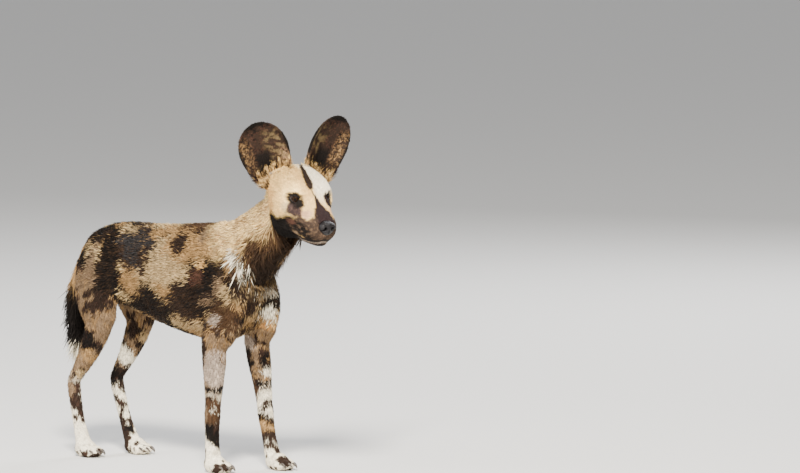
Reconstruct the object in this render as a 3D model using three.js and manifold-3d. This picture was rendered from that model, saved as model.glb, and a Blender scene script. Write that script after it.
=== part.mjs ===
// African wild dog (Lycaon pictus), a still life-size model in a standing pose.
// The dog faces +X, its left side is +Y and the ground is z = 0. All lengths are millimetres.
// Every form reaches to the outside of the coat.
import * as THREE from 'three';
import Module from 'manifold-3d';

const wasm = await Module();
wasm.setup();
const { Manifold, Mesh } = wasm;

// Driving dimensions of the body
const WITHERS_HEIGHT = 599;
const TRUNK_LENGTH = 600;
const CHEST_WIDTH = 184;
const BUTTOCK_X = -470;
const ELBOW_HEIGHT = 312;
const WRIST_HEIGHT = 128;
const STIFLE_HEIGHT = 358;
const HOCK_HEIGHT = 178;
const FORE_TRACK = 144;
const HIND_TRACK = 128;
const PAW_LENGTH = 80;
const PAW_WIDTH = 56;

// Driving dimensions of the head
const HEAD_PLACE = new THREE.Vector3(296, -32, 679);
const HEAD_TURN = THREE.MathUtils.degToRad(-17);
const HEAD_PITCH = THREE.MathUtils.degToRad(15);
const EYE_RADIUS = 12.5;
const MOUTH_GAP = 1.8;
const EYE_PLACE = { ahead: 19, aside: 39, up: 4 };
const EYE_SPLAY = THREE.MathUtils.degToRad(32);
const NOSE = { ahead: 115, up: -39, deep: 15, wide: 20, high: 19 };
const EAR_LENGTH = 155;
const EAR_WIDTH = 124;
const EAR_WALL = 4.5;
const EAR_LEAN = { left: 0.3, right: 0.485 };
const EAR_SPLAY = { left: 0.19, right: 0.34 };

// Driving dimensions of the long hair: the ruff under the neck and the brush of the tail. The
// cores reach about half way to the tips of the locks.
const RUFF_DEPTH = 24;
const RUFF_LOCK = { length: 70, width: 32, thick: 6, lift: 17 };
const TAIL_BRUSH = 31;
const TAIL_CORE = 16;
const TAIL_LOCK = { length: 84, width: 22, thick: 6 };
const LOCK_SEED = 7;

// Clearance between nodes that touch, and a size larger than the whole dog
const GAP = 0.3;
const BEYOND = 2400;

const LEFT = 1;
const RIGHT = -1;
const SIDEWAYS = new THREE.Vector3(0, 1, 0);
const FORWARD = new THREE.Vector3(1, 0, 0);
const UPWARD = new THREE.Vector3(0, 0, 1);

const at = (x, y, z) => new THREE.Vector3(x, y, z);
const station = (centre, wide, over, under = over) => ({ centre, wide, over, under });

// A closed form swept along a smooth spine through its stations. Each station reaches wide to both
// sides, over to the upper or front side and under to the lower or rear side of the spine.
function sweep(stations, { sides = 16, rows = 12, across = SIDEWAYS, grow = 0, full = 1 } = {}) {
  const spine = new THREE.CatmullRomCurve3(stations.map((s) => s.centre));
  const reach = new THREE.CatmullRomCurve3(stations.map((s) => at(s.wide, s.over, s.under)));
  const frame = (t) => {
    const along = spine.getTangent(t);
    const side = across.clone().addScaledVector(along, -across.dot(along)).normalize();
    const up = along.clone().cross(side);
    return { along, side, up };
  };
  const round = (value) => Math.sign(value) * Math.abs(value) ** full;
  const point = (t, turn) => {
    const { side, up } = frame(t);
    const size = reach.getPoint(t);
    const lift = Math.sin(turn) > 0 ? size.y : size.z;
    return spine
      .getPoint(t)
      .addScaledVector(side, (size.x + grow) * round(Math.cos(turn)))
      .addScaledVector(up, (lift + grow) * round(Math.sin(turn)));
  };
  const tip = (t, sign) => {
    const size = reach.getPoint(t);
    const dome = 0.3 * Math.min(size.x, size.y, size.z) + grow;
    return spine.getPoint(t).addScaledVector(frame(t).along, sign * dome);
  };
  const solid = () => {
    const points = [tip(0, -1)];
    for (let row = 0; row <= rows; row += 1) {
      for (let step = 0; step < sides; step += 1) {
        points.push(point(row / rows, (2 * Math.PI * step) / sides));
      }
    }
    points.push(tip(1, 1));
    const last = points.length - 1;
    const corner = (row, step) => 1 + row * sides + (step % sides);
    const faces = [];
    for (let step = 0; step < sides; step += 1) {
      faces.push(0, corner(0, step + 1), corner(0, step));
      faces.push(last, corner(rows, step), corner(rows, step + 1));
      for (let row = 0; row < rows; row += 1) {
        const [a, b] = [corner(row, step), corner(row, step + 1)];
        const [c, d] = [corner(row + 1, step + 1), corner(row + 1, step)];
        faces.push(a, b, c, a, c, d);
      }
    }
    return closed(new THREE.BufferGeometry().setFromPoints(points).setIndex(faces));
  };
  return { spine, frame, point, solid };
}

// Turns an indexed geometry with shared corners into a solid
function closed(geometry) {
  return new Manifold(
    new Mesh({
      numProp: 3,
      vertProperties: new Float32Array(geometry.attributes.position.array),
      triVerts: new Uint32Array(geometry.index.array),
    }),
  );
}

// Joins the repeated corners of a round, boxy or extruded three.js geometry, then makes it a solid
function welded(geometry) {
  const { position } = geometry.attributes;
  const order = geometry.index ? geometry.index.array : Array(position.count).keys();
  const seen = new Map();
  const points = [];
  const corners = [...order].map((corner) => {
    const spot = new THREE.Vector3().fromBufferAttribute(position, corner);
    const key = spot.toArray().map((value) => Math.round(value * 1000) + 0).join();
    if (!seen.has(key)) {
      seen.set(key, points.length);
      points.push(spot);
    }
    return seen.get(key);
  });
  const faces = [];
  for (let i = 0; i < corners.length; i += 3) {
    const [a, b, c] = corners.slice(i, i + 3);
    if (a !== b && b !== c && c !== a) {
      faces.push(a, b, c);
    }
  }
  return closed(new THREE.BufferGeometry().setFromPoints(points).setIndex(faces));
}

function ball(centre, reach, { sides = 10, rows = 6, turn = null } = {}) {
  const geometry = new THREE.SphereGeometry(1, sides, rows);
  geometry.scale(reach.x, reach.y, reach.z);
  if (turn) {
    geometry.applyQuaternion(turn);
  }
  geometry.translate(centre.x, centre.y, centre.z);
  return welded(geometry);
}

// All space on the far side of a plane, seen along its normal
function beyond(point, normal, grow = 0) {
  const geometry = new THREE.BoxGeometry(BEYOND, BEYOND, BEYOND);
  geometry.translate(0, 0, BEYOND / 2 - grow);
  const facing = new THREE.Quaternion().setFromUnitVectors(UPWARD, normal.clone().normalize());
  geometry.applyQuaternion(facing);
  geometry.translate(point.x, point.y, point.z);
  return welded(geometry);
}

// A corner of space cut off by several planes
const region = (planes, grow = 0) =>
  planes.map(([point, normal]) => beyond(point, normal, grow)).reduce((a, b) => a.intersect(b));

const fused = (solids) => solids.reduce((a, b) => a.add(b));

// The largest closed surface of a solid
function largest(solid) {
  const pieces = solid.decompose();
  return pieces.reduce((a, b) => (b.volume() > a.volume() ? b : a));
}

// Trunk from the buttocks to the breast. Each row gives its place as a share of the trunk's
// length, the heights of back and belly as shares of the withers' height and half the width as
// a share of the chest's width.
function trunk(grow = 0) {
  const rows = [
    [0.0, 0.86, 0.78, 0.12],
    [0.025, 0.906, 0.735, 0.24],
    [0.075, 0.947, 0.69, 0.36],
    [0.15, 0.969, 0.65, 0.43],
    [0.25, 0.977, 0.621, 0.445],
    [0.37, 0.978, 0.584, 0.467],
    [0.5, 0.983, 0.548, 0.495],
    [0.62, 0.992, 0.521, 0.5],
    [0.725, 1.0, 0.506, 0.478],
    [0.84, 0.988, 0.521, 0.446],
    [0.93, 0.935, 0.576, 0.37],
    [0.98, 0.843, 0.659, 0.24],
    [1.0, 0.785, 0.71, 0.13],
  ];
  const stations = rows.map(([along, back, belly, wide]) => {
    const x = BUTTOCK_X + along * TRUNK_LENGTH;
    const middle = (WITHERS_HEIGHT * (back + belly)) / 2;
    const half = (WITHERS_HEIGHT * (back - belly)) / 2;
    return station(at(x, 0, middle), wide * CHEST_WIDTH, half);
  });
  return sweep(stations, { sides: 16, rows: 15, grow, full: 0.93 }).solid();
}

// Neck from inside the chest to inside the skull, without the depth of the ruff
function neckForm(grow = 0) {
  const stations = [
    station(at(-30, 0, 505), 78, 86, 118),
    station(at(45, -2, 528), 76, 86, 118 - RUFF_DEPTH / 2),
    station(at(105, -6, 560), 66, 78, 102 - RUFF_DEPTH),
    station(at(160, -14, 592), 60, 72, 88 - RUFF_DEPTH),
    station(at(205, -21, 622), 62, 74, 86 - RUFF_DEPTH),
    station(at(260, -33, 654), 58, 66, 86 - RUFF_DEPTH / 2),
  ];
  return sweep(stations, { sides: 16, rows: 12, grow });
}

// A repeatable draw between one less and one more than the given share
THREE.MathUtils.seededRandom(LOCK_SEED);
const varied = (share) => 1 + share * (2 * THREE.MathUtils.seededRandom() - 1);

// A flat tapered lock that leaves its root, sunk in the form below, and bends to lie along the coat
function lock(root, out, lie, { length, width, thick, lift }) {
  const long = length * varied(0.18);
  const lean = new THREE.Vector3().crossVectors(lie, out).multiplyScalar(0.12 * long * (varied(1) - 1));
  const place = (along, rise, swing) =>
    root
      .clone()
      .addScaledVector(lie, along * long)
      .addScaledVector(out, rise)
      .addScaledVector(lean, swing);
  const high = lift * varied(0.3);
  const stations = [
    station(place(-0.1, -0.35 * lift, 0), 0.36 * width, 0.5 * thick),
    station(place(0.25, 0.45 * high, 0.2), 0.5 * width, 0.45 * thick),
    station(place(0.62, 0.85 * high, 0.6), 0.38 * width, 0.36 * thick),
    station(place(1, 0.9 * high, 1), 0.06 * width, 0.12 * thick),
  ];
  const across = new THREE.Vector3().crossVectors(lie, out).normalize();
  return sweep(stations, { sides: 4, rows: 3, across }).solid();
}

// Locks in staggered rings over part of a swept form. turns are in degrees, 0 on the left flank
// and -90 underneath, and flow gives the way the hair lies at a place.
function lockRings(form, { along, turns, rings, each, flow, size }) {
  const locks = [];
  for (let ring = 0; ring < rings; ring += 1) {
    const t = THREE.MathUtils.lerp(along[0], along[1], ring / (rings - 1));
    for (let step = 0; step < each; step += 1) {
      const share = (step + (ring % 2 ? 0.75 : 0.25)) / each;
      const turn = THREE.MathUtils.degToRad(THREE.MathUtils.lerp(turns[0], turns[1], share));
      const root = form.point(t, turn);
      const out = root.clone().sub(form.spine.getPoint(t)).normalize();
      const lie = flow(form.frame(t).along);
      lie.addScaledVector(out, -lie.dot(out)).normalize();
      locks.push(lock(root, out, lie, size));
    }
  }
  return locks;
}

const ruffLocks = () =>
  lockRings(neckForm(), {
    along: [0.84, 0.42],
    turns: [-12, -168],
    rings: 5,
    each: 6,
    flow: (along) => along.clone().multiplyScalar(-1).addScaledVector(UPWARD, -0.7),
    size: RUFF_LOCK,
  });

// One front leg from the top of the shoulder blade to the ankle. stride moves the wrist and paw.
function frontLimb(side, stride, grow = 0) {
  const y = (side * FORE_TRACK) / 2;
  const slant = (height) => THREE.MathUtils.mapLinear(height, ELBOW_HEIGHT, WRIST_HEIGHT, 0, stride);
  const down = (x, height) => at(x + slant(height), y, height);
  const blade = sweep(
    [
      station(at(-44, y * 0.5, 562), 10, 22),
      station(at(-16, y * 0.66, 526), 26, 58),
      station(at(38, y * 0.76, 462), 34, 66),
      station(at(82, y * 0.76, 408), 28, 46),
    ],
    { sides: 12, rows: 6, grow },
  );
  const upperArm = sweep(
    [
      station(at(84, y * 0.74, 448), 26, 40),
      station(at(66, y * 0.84, 388), 31, 56),
      station(at(38, y * 0.94, 330), 28, 48),
      station(at(24, y, 296), 20, 30),
    ],
    { sides: 12, rows: 6, grow },
  );
  const forearm = sweep(
    [
      station(at(30, y, 352), 26, 34, 36),
      station(down(30, 300), 29, 36, 38),
      station(down(32, 240), 26.5, 31, 31),
      station(down(32, 200), 23, 26, 25),
      station(down(32, 165), 20, 21, 20),
      station(down(32, WRIST_HEIGHT), 20.5, 20, 22),
      station(down(33, 92), 18, 17, 18),
      station(down(36, 52), 20, 18, 18),
      station(down(40, 26), 22, 20, 18),
    ],
    { sides: 10, rows: 10 },
  );
  const paw = pawForms(at(50 + slant(0), y, 0), side);
  return [blade.solid(), upperArm.solid(), forearm.solid(), ...paw];
}

// One hind leg from the hip to the ankle. stride moves the hock and paw.
function hindLimb(side, stride) {
  const y = (side * HIND_TRACK) / 2;
  const slant = (height) => THREE.MathUtils.mapLinear(height, STIFLE_HEIGHT, HOCK_HEIGHT, 0, stride);
  const down = (x, out, height) => at(x + slant(height), y * out, height);
  const thigh = sweep(
    [
      station(at(-392, y * 0.55, 548), 12, 26, 24),
      station(at(-396, y * 0.8, 502), 35, 66, 50),
      station(at(-386, y * 0.98, 436), 41, 78, 68),
      station(at(-372, y * 1.06, 378), 38, 62, 66),
      station(at(-362, y * 1.1, 330), 26, 36, 46),
    ],
    { sides: 12, rows: 7 },
  );
  const shank = sweep(
    [
      station(at(-352, y * 1.1, 368), 32, 42, 48),
      station(down(-384, 1.05, 300), 28, 36, 38),
      station(down(-426, 1, 238), 22, 27, 26),
      station(down(-458, 0.97, 198), 17, 20, 20),
      station(down(-470, 0.97, HOCK_HEIGHT), 16, 18, 19),
    ],
    { sides: 10, rows: 8 },
  );
  const instep = sweep(
    [
      station(down(-466, 0.97, 200), 13, 15, 17),
      station(down(-466, 0.97, 172), 17, 19, 21),
      station(down(-460, 0.97, 130), 16, 17, 17),
      station(down(-450, 0.97, 85), 16, 16, 16),
      station(down(-440, 0.97, 50), 19, 18, 17),
      station(down(-432, 0.97, 26), 21, 20, 18),
    ],
    { sides: 10, rows: 8 },
  );
  const paw = pawForms(at(-424 + slant(0), y * 0.97, 0), side);
  return [thigh.solid(), shank.solid(), instep.solid(), ...paw];
}

// The palm, four toes and four claws of one paw, centred over the given ground point
function pawForms(ground, side) {
  const forms = [ball(ground.clone().add(at(-2, 0, 19)), at(0.42 * PAW_LENGTH, 0.44 * PAW_WIDTH, 24))];
  const toes = [
    { aside: -0.36, ahead: 0.24 },
    { aside: -0.13, ahead: 0.38 },
    { aside: 0.13, ahead: 0.38 },
    { aside: 0.36, ahead: 0.24 },
  ];
  toes.forEach(({ aside, ahead }) => {
    const toe = ground.clone().add(at(ahead * PAW_LENGTH, side * aside * PAW_WIDTH, 13));
    const reach = at(0.23 * PAW_LENGTH, 0.165 * PAW_WIDTH, 14.5);
    forms.push(ball(toe, reach, { sides: 7, rows: 5 }));
    const claw = sweep(
      [
        station(toe.clone().add(at(12, 0, 3)), 3.6, 3.6),
        station(toe.clone().add(at(20, 0, 1)), 3, 3),
        station(toe.clone().add(at(26, 0, -5)), 1.2, 1.2),
      ],
      { sides: 4, rows: 2 },
    );
    forms.push(claw.solid());
  });
  return forms;
}

// The tail hanging close behind the thighs, without the depth of its brush
const tailForm = sweep(
  [
    station(at(-418, 0, 540), 15, 15),
    station(at(-452, 0, 526), 18, 18),
    station(at(-482, 0, 488), 20, 19),
    station(at(-502, 0, 430), TAIL_CORE + 1, TAIL_CORE + 1),
    station(at(-508, 0, 365), TAIL_CORE, TAIL_CORE),
    station(at(-504, 0, 300), TAIL_CORE * 0.85, TAIL_CORE * 0.85),
    station(at(-497, 0, 250), TAIL_CORE * 0.5, TAIL_CORE * 0.5),
  ],
  { sides: 10, rows: 10 },
);

const tailLocks = () =>
  lockRings(tailForm, {
    along: [0.36, 0.97],
    turns: [0, 360],
    rings: 6,
    each: 5,
    flow: (along) => along.clone(),
    size: { ...TAIL_LOCK, lift: TAIL_BRUSH - TAIL_CORE },
  });

// Everything on the head is placed from a point between the eyes, x ahead, y left and z up, and
// the head is then pitched down and turned to the dog's right.
const headPose = new THREE.Matrix4()
  .makeTranslation(HEAD_PLACE)
  .multiply(new THREE.Matrix4().makeRotationZ(HEAD_TURN))
  .multiply(new THREE.Matrix4().makeRotationY(HEAD_PITCH));
const posed = (solid) => solid.transform(headPose.toArray());

// Skull and upper jaw. Each row gives its place ahead of the eyes, the heights of its upper and
// lower outlines and half its width.
function skull(grow = 0) {
  const rows = [
    [-118, 22, -84, 46],
    [-102, 40, -94, 60],
    [-80, 52, -98, 68],
    [-48, 59, -99, 74],
    [-18, 56, -96, 75],
    [5, 45, -88, 71],
    [20, 30, -83, 61],
    [37, 13, -80, 48],
    [63, -2, -80, 42],
    [91, -13, -80, 38],
    [110, -23, -76, 32],
    [119, -34, -67, 21],
  ];
  const stations = rows.map(([ahead, top, bottom, wide]) =>
    station(at(ahead, 0, (top + bottom) / 2), wide, (top - bottom) / 2),
  );
  return sweep(stations, { sides: 16, rows: 15, grow, full: 0.77 }).solid();
}

// The hanging edge of the upper lip on one side, which covers the lower jaw
function upperLip(side) {
  const stations = [
    station(at(14, side * 42, -60), 14, 17),
    station(at(46, side * 31, -66), 13, 16),
    station(at(78, side * 23, -68), 12, 15),
    station(at(102, side * 14, -65), 11, 14),
    station(at(113, side * 5, -61), 8, 10),
  ];
  return sweep(stations, { sides: 8, rows: 5 }).solid();
}

function lowerJaw() {
  const stations = [
    station(at(-52, 0, -74), 52, 22, 38),
    station(at(-5, 0, -84), 42, 18, 22),
    station(at(37, 0, -86), 31, 14, 14),
    station(at(76, 0, -86), 25, 12, 10),
    station(at(98, 0, -83), 18, 10, 9),
    station(at(108, 0, -80), 9, 6, 6),
  ];
  return sweep(stations, { sides: 10, rows: 8 }).solid();
}

const eyeCentre = (side) => at(EYE_PLACE.ahead, side * EYE_PLACE.aside, EYE_PLACE.up);
const eyeAim = (side) => at(Math.cos(EYE_SPLAY), side * Math.sin(EYE_SPLAY), 0);

// A lid is a low ridge that runs from the inner to the outer corner of the eye, over the ball
function lid(side, lift) {
  const aim = eyeAim(side);
  const across = UPWARD.clone().cross(aim).multiplyScalar(side);
  const spread = THREE.MathUtils.degToRad(62);
  const steps = [-1, -0.6, 0, 0.6, 1];
  const stations = steps.map((share) => {
    const turn = share * spread;
    const rise = lift * Math.cos((share * Math.PI) / 2) - 0.05 * share;
    const out = aim
      .clone()
      .multiplyScalar(Math.cos(turn) * Math.cos(rise))
      .addScaledVector(across, -Math.sin(turn) * Math.cos(rise))
      .addScaledVector(UPWARD, Math.sin(rise));
    const thick = 3.6 - 1.2 * Math.abs(share);
    return station(eyeCentre(side).addScaledVector(out, EYE_RADIUS + 1.2), thick, thick);
  });
  return sweep(stations, { sides: 5, rows: 6, across: UPWARD }).solid();
}

// The opening between the lids
function eyeOpening(side) {
  const turn = new THREE.Quaternion().setFromUnitVectors(FORWARD, eyeAim(side));
  const centre = eyeCentre(side).addScaledVector(eyeAim(side), EYE_RADIUS + 3);
  return ball(centre, at(13, 15, 8.5), { turn });
}

const eyeBall = (side, radius) =>
  ball(eyeCentre(side), at(radius, radius, radius), { sides: 12, rows: 8 });

// The line between the lips, a thin curved slot that runs only a little way in
function mouthLine() {
  const line = new THREE.SplineCurve([
    new THREE.Vector2(22, -74),
    new THREE.Vector2(45, -80),
    new THREE.Vector2(76, -83),
    new THREE.Vector2(100, -80),
    new THREE.Vector2(128, -69),
  ]).getPoints(8);
  const half = MOUTH_GAP / 2;
  const outline = [
    ...line.map((spot) => new THREE.Vector2(spot.x, spot.y + half)),
    ...line.reverse().map((spot) => new THREE.Vector2(spot.x, spot.y - half)),
  ];
  const depth = 2 * CHEST_WIDTH;
  const geometry = new THREE.ExtrudeGeometry(new THREE.Shape(outline), { depth, bevelEnabled: false });
  geometry.rotateX(Math.PI / 2);
  geometry.translate(0, depth / 2, 0);
  const kept = sweep(
    [
      station(at(-20, 0, -78), 46, 40),
      station(at(35, 0, -78), 24, 40),
      station(at(90, 0, -78), 14, 40),
      station(at(96, 0, -78), 6, 40),
    ],
    { sides: 8, rows: 5 },
  );
  return welded(geometry).subtract(kept.solid());
}

// The nose pad: a round form with a wing over each nostril, flat on top
const noseCentre = at(NOSE.ahead, 0, NOSE.up);
function nosePad(grow = 0) {
  const { deep, wide, high } = NOSE;
  const pad = ball(noseCentre, at(deep + grow, 0.9 * wide + grow, high + grow));
  const wings = [LEFT, RIGHT].map((side) => {
    const centre = noseCentre.clone().add(at(0.1 * deep, side * 0.5 * wide, 0.12 * high));
    const reach = at(0.85 * deep + grow, 0.58 * wide + grow, 0.62 * high + grow);
    return ball(centre, reach, { sides: 8, rows: 5 });
  });
  const top = beyond(noseCentre.clone().add(at(0, 0, 0.78 * high + grow)), at(0.16, 0, 1));
  return fused([pad, ...wings]).subtract(top);
}

// One nostril: a round hole whose slit runs out and down to the side of the pad
function nostril(side) {
  const hole = sweep(
    [
      station(at(117, side * 8, -37), 3.2, 4.4),
      station(at(126, side * 9, -38), 4.6, 5.2),
      station(at(136, side * 9.5, -39), 5.2, 5.8),
    ],
    { sides: 7, rows: 2 },
  );
  const slit = sweep(
    [
      station(at(127, side * 10, -40), 4.5, 3.2),
      station(at(122, side * 18, -43), 4.5, 2.6),
      station(at(114, side * 26, -48), 4.5, 1.8),
    ],
    { sides: 5, rows: 2, across: FORWARD },
  );
  return hole.solid().add(slit.solid());
}

function nose() {
  const groove = new THREE.BoxGeometry(12, 2, 26);
  groove.translate(NOSE.ahead + NOSE.deep, 0, NOSE.up - 14);
  const cuts = fused([nostril(LEFT), nostril(RIGHT), welded(groove)]);
  return largest(nosePad().subtract(cuts));
}

// The upper lip, cheek and brow that swell the plain skull on one side
const headSwells = (side) => [
  upperLip(side),
  ball(at(-40, side * 38, -46), at(48, 33, 42)),
  ball(at(11, side * 42, 15), at(15, 17, 13), { sides: 12, rows: 8 }),
];

const headForms = () => [skull(), lowerJaw(), ...headSwells(LEFT), ...headSwells(RIGHT)];

// Cuts the mouth and the eye openings into the head and sets the lids round the eyes
function withFace(head) {
  let form = head.subtract(posed(mouthLine()));
  [LEFT, RIGHT].forEach((side) => {
    form = form
      .subtract(posed(eyeOpening(side)))
      .add(posed(lid(side, 0.56)))
      .add(posed(lid(side, -0.5)))
      .subtract(posed(eyeBall(side, EYE_RADIUS + GAP)));
  });
  return form.subtract(posed(nosePad(GAP)));
}

// One ear: a round leaf whose back is a shallow bowl, hollowed from the front
function ear(name, side) {
  const root = at(-54, side * 59, 28);
  const axis = at(-0.06, side * EAR_LEAN[name], 0.94).normalize();
  const opening = at(0.94, side * EAR_SPLAY[name], 0).normalize();
  const across = axis.clone().cross(opening);
  const rows = [
    [-0.14, 0.24, 0.15],
    [0.0, 0.33, 0.22],
    [0.15, 0.41, 0.24],
    [0.34, 0.475, 0.23],
    [0.53, 0.5, 0.2],
    [0.72, 0.46, 0.155],
    [0.87, 0.36, 0.11],
    [0.96, 0.22, 0.07],
    [1.0, 0.09, 0.04],
  ];
  const leaf = (shrink, open) =>
    rows.map(([along, wide, deep]) =>
      station(
        root.clone().addScaledVector(axis, along * (EAR_LENGTH - shrink) + shrink / 2),
        Math.max(wide * EAR_WIDTH - shrink, 1),
        open,
        Math.max(deep * EAR_WIDTH - shrink, 1),
      ),
    );
  const outer = sweep(leaf(0, 2.5), { sides: 14, rows: 10, across: across.clone().negate() });
  const cup = sweep(leaf(EAR_WALL, 40).slice(1), { sides: 12, rows: 8, across: across.clone().negate() });
  return outer.solid().subtract(cup.solid());
}

// Where the body is parted into its nodes
const neckBase = [at(10, 0, 604), at(0.78, 0, 0.63)];
const headBack = [at(-80, 0, 45).applyMatrix4(headPose), at(0.94, 0, 0.34).transformDirection(headPose)];
const frontLegCut = (side) => [
  [at(0, side * 34, 0), at(0, side, 0)],
  [at(0, 0, 348), at(0, 0, -1)],
  [at(-12, 0, 0), at(1, 0, 0)],
];
const hindLegCut = (side) => [
  [at(0, side * 22, 0), at(0, side, 0)],
  [at(-300, 0, 392), at(-0.59, 0, -0.81)],
  [at(-318, 0, 0), at(-1, 0, 0)],
];
const tailCut = [at(-470, 0, 520), at(-0.8, 0, -0.6)];

// Joins locks to the form that they grow from and cuts all of it clear of its neighbours
const withLocks = (core, locks, neighbours) =>
  largest(core.add(fused(locks)).subtract(neighbours));

// The chest and shoulders with a little room round them, for the ruff to hang over
function chestRoom() {
  const shoulders = [LEFT, RIGHT].flatMap((side) => frontLimb(side, 0, 2 * GAP).slice(0, 2));
  const chest = fused([trunk(2 * GAP), neckForm(2 * GAP).solid(), ...shoulders]);
  return chest.subtract(beyond(...neckBase));
}

function buildDog() {
  const ground = beyond(at(0, 0, 0), at(0, 0, -1));
  const frontLegs = { left: frontLimb(LEFT, 30), right: frontLimb(RIGHT, -10) };
  const hindLegs = { left: hindLimb(LEFT, 24), right: hindLimb(RIGHT, 0) };
  const body = fused([
    trunk(),
    neckForm().solid(),
    ...frontLegs.left,
    ...frontLegs.right,
    ...hindLegs.left,
    ...hindLegs.right,
    ...headForms().map(posed),
  ]).subtract(ground);

  const parts = {};
  const cuts = {
    foreleg_left: frontLegCut(LEFT),
    foreleg_right: frontLegCut(RIGHT),
    hindleg_left: hindLegCut(LEFT),
    hindleg_right: hindLegCut(RIGHT),
    neck: [neckBase],
  };
  let torso = body;
  Object.entries(cuts).forEach(([name, planes]) => {
    parts[name] = largest(body.intersect(region(planes)));
    torso = torso.subtract(region(planes, GAP));
  });
  parts.torso = largest(torso);
  parts.head = largest(withFace(body.intersect(beyond(...headBack))));
  parts.neck = withLocks(parts.neck, ruffLocks(), chestRoom().add(beyond(...headBack, GAP)));
  parts.nose = posed(nose());
  const skullRoom = posed(skull(GAP));
  [
    ['left', LEFT],
    ['right', RIGHT],
  ].forEach(([name, side]) => {
    parts[`ear_${name}`] = largest(posed(ear(name, side)).subtract(skullRoom).subtract(body));
    parts[`eye_${name}`] = posed(eyeBall(side, EYE_RADIUS));
  });

  parts.tail = withLocks(tailForm.solid(), tailLocks(), trunk(GAP));
  return parts;
}

const finishes = {
  coat_tan: { color: '#b08a55', roughness: 0.9 },
  coat_dark: { color: '#2d2621', roughness: 0.9 },
  coat_pale: { color: '#d8c9a8', roughness: 0.9 },
  nose_skin: { color: '#1c1a1a', roughness: 0.45 },
  eye_glass: { color: '#2a1a10', roughness: 0.08 },
};
const finishOf = {
  head: 'coat_pale',
  nose: 'nose_skin',
  ear_left: 'coat_dark',
  ear_right: 'coat_dark',
  eye_left: 'eye_glass',
  eye_right: 'eye_glass',
  neck: 'coat_tan',
  torso: 'coat_tan',
  tail: 'coat_dark',
  foreleg_left: 'coat_pale',
  foreleg_right: 'coat_pale',
  hindleg_left: 'coat_tan',
  hindleg_right: 'coat_tan',
};

function meshOf(name, solid) {
  const { vertProperties, triVerts } = solid.getMesh();
  const geometry = new THREE.BufferGeometry();
  geometry.setAttribute('position', new THREE.BufferAttribute(vertProperties, 3));
  geometry.setIndex(new THREE.BufferAttribute(triVerts, 1));
  geometry.computeVertexNormals();
  const mesh = new THREE.Mesh(geometry, new THREE.MeshStandardMaterial(finishes[finishOf[name]]));
  mesh.name = name;
  return mesh;
}

const dog = new THREE.Group();
Object.entries(buildDog()).forEach(([name, solid]) => dog.add(meshOf(name, solid)));

// The origin is the middle of the bottom of the whole dog's box
const box = new THREE.Box3().setFromObject(dog, true);
const middle = box.getCenter(new THREE.Vector3());
dog.position.set(-middle.x, -middle.y, -box.min.z);

export default dog;
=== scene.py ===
import math

import bpy
import numpy as np
from mathutils import Matrix, Vector
from mathutils.bvhtree import BVHTree


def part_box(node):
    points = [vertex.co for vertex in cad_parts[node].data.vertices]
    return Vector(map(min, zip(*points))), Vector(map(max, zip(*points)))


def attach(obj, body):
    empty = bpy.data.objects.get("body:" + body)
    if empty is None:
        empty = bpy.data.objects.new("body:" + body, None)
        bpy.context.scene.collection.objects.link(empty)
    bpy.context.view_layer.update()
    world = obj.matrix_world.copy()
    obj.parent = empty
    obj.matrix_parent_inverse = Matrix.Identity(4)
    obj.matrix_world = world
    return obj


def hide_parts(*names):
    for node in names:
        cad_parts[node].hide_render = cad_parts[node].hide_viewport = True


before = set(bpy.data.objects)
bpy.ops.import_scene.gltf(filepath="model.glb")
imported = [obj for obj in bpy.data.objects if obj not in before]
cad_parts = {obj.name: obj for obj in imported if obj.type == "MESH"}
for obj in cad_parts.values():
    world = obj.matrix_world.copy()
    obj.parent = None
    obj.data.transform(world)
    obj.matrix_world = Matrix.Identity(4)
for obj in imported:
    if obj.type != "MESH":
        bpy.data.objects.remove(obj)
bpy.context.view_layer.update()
MM = 0.001
SIDES = {"left": 1, "right": -1}
FLESH = ("head", "neck", "torso", "tail", "ear_left", "ear_right",
         "foreleg_left", "foreleg_right", "hindleg_left", "hindleg_right")
LEGS = FLESH[6:]


# Places on the head and on the body

EYE_ON_HEAD = Vector((19, 39, 4))
NOSE_ON_HEAD = Vector((116.5, 0, -39.4))
HEAD_ON_BODY = Vector((296, -32, 679))


def middle(node):
    low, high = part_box(node)
    return (low + high) / 2


def head_axes():
    """The point between the eyes, and the head's directions ahead, to its left and up."""
    left, right = middle("eye_left"), middle("eye_right")
    aside = (left - right).normalized()
    to_nose = middle("nose") - (left + right) / 2
    to_nose = (to_nose - aside * to_nose.dot(aside)).normalized()
    rise = to_nose.cross(aside)
    reach = NOSE_ON_HEAD - EYE_ON_HEAD
    reach.y = 0
    reach.normalize()
    ahead = to_nose * reach.x - rise * reach.z
    up = rise * reach.x + to_nose * reach.z
    origin = (left + right) / 2 - (ahead * EYE_ON_HEAD.x + up * EYE_ON_HEAD.z) * MM
    return origin, ahead, aside, up


HEAD_ORIGIN, AHEAD, ASIDE, UP = head_axes()
BODY_ORIGIN = HEAD_ORIGIN - HEAD_ON_BODY * MM
BODY_ORIGIN.z = 0
HEAD_TURN = np.array([AHEAD, ASIDE, UP])


def head(x, y, z):
    """A place on the head, in metres, from millimetres ahead, left and up from between the eyes."""
    return HEAD_ORIGIN + (AHEAD * x + ASIDE * y + UP * z) * MM


def body(x, y, z):
    """A place on the body, in metres, from millimetres on the body."""
    return BODY_ORIGIN + Vector((x, y, z)) * MM


def on_head(points):
    return (points - np.array(HEAD_ORIGIN)) @ HEAD_TURN.T / MM


def on_body(points):
    return (points - np.array(BODY_ORIGIN)) / MM


# Camera, floor and light

VIEW_TURN = math.radians(43)
VIEW_RISE = math.radians(5)
VIEW_DISTANCE = 15.0
PICTURE_WIDTH = 1.92
PICTURE_MIDDLE = (0.4183, 0.5614)
SENSOR = 36.0


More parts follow.
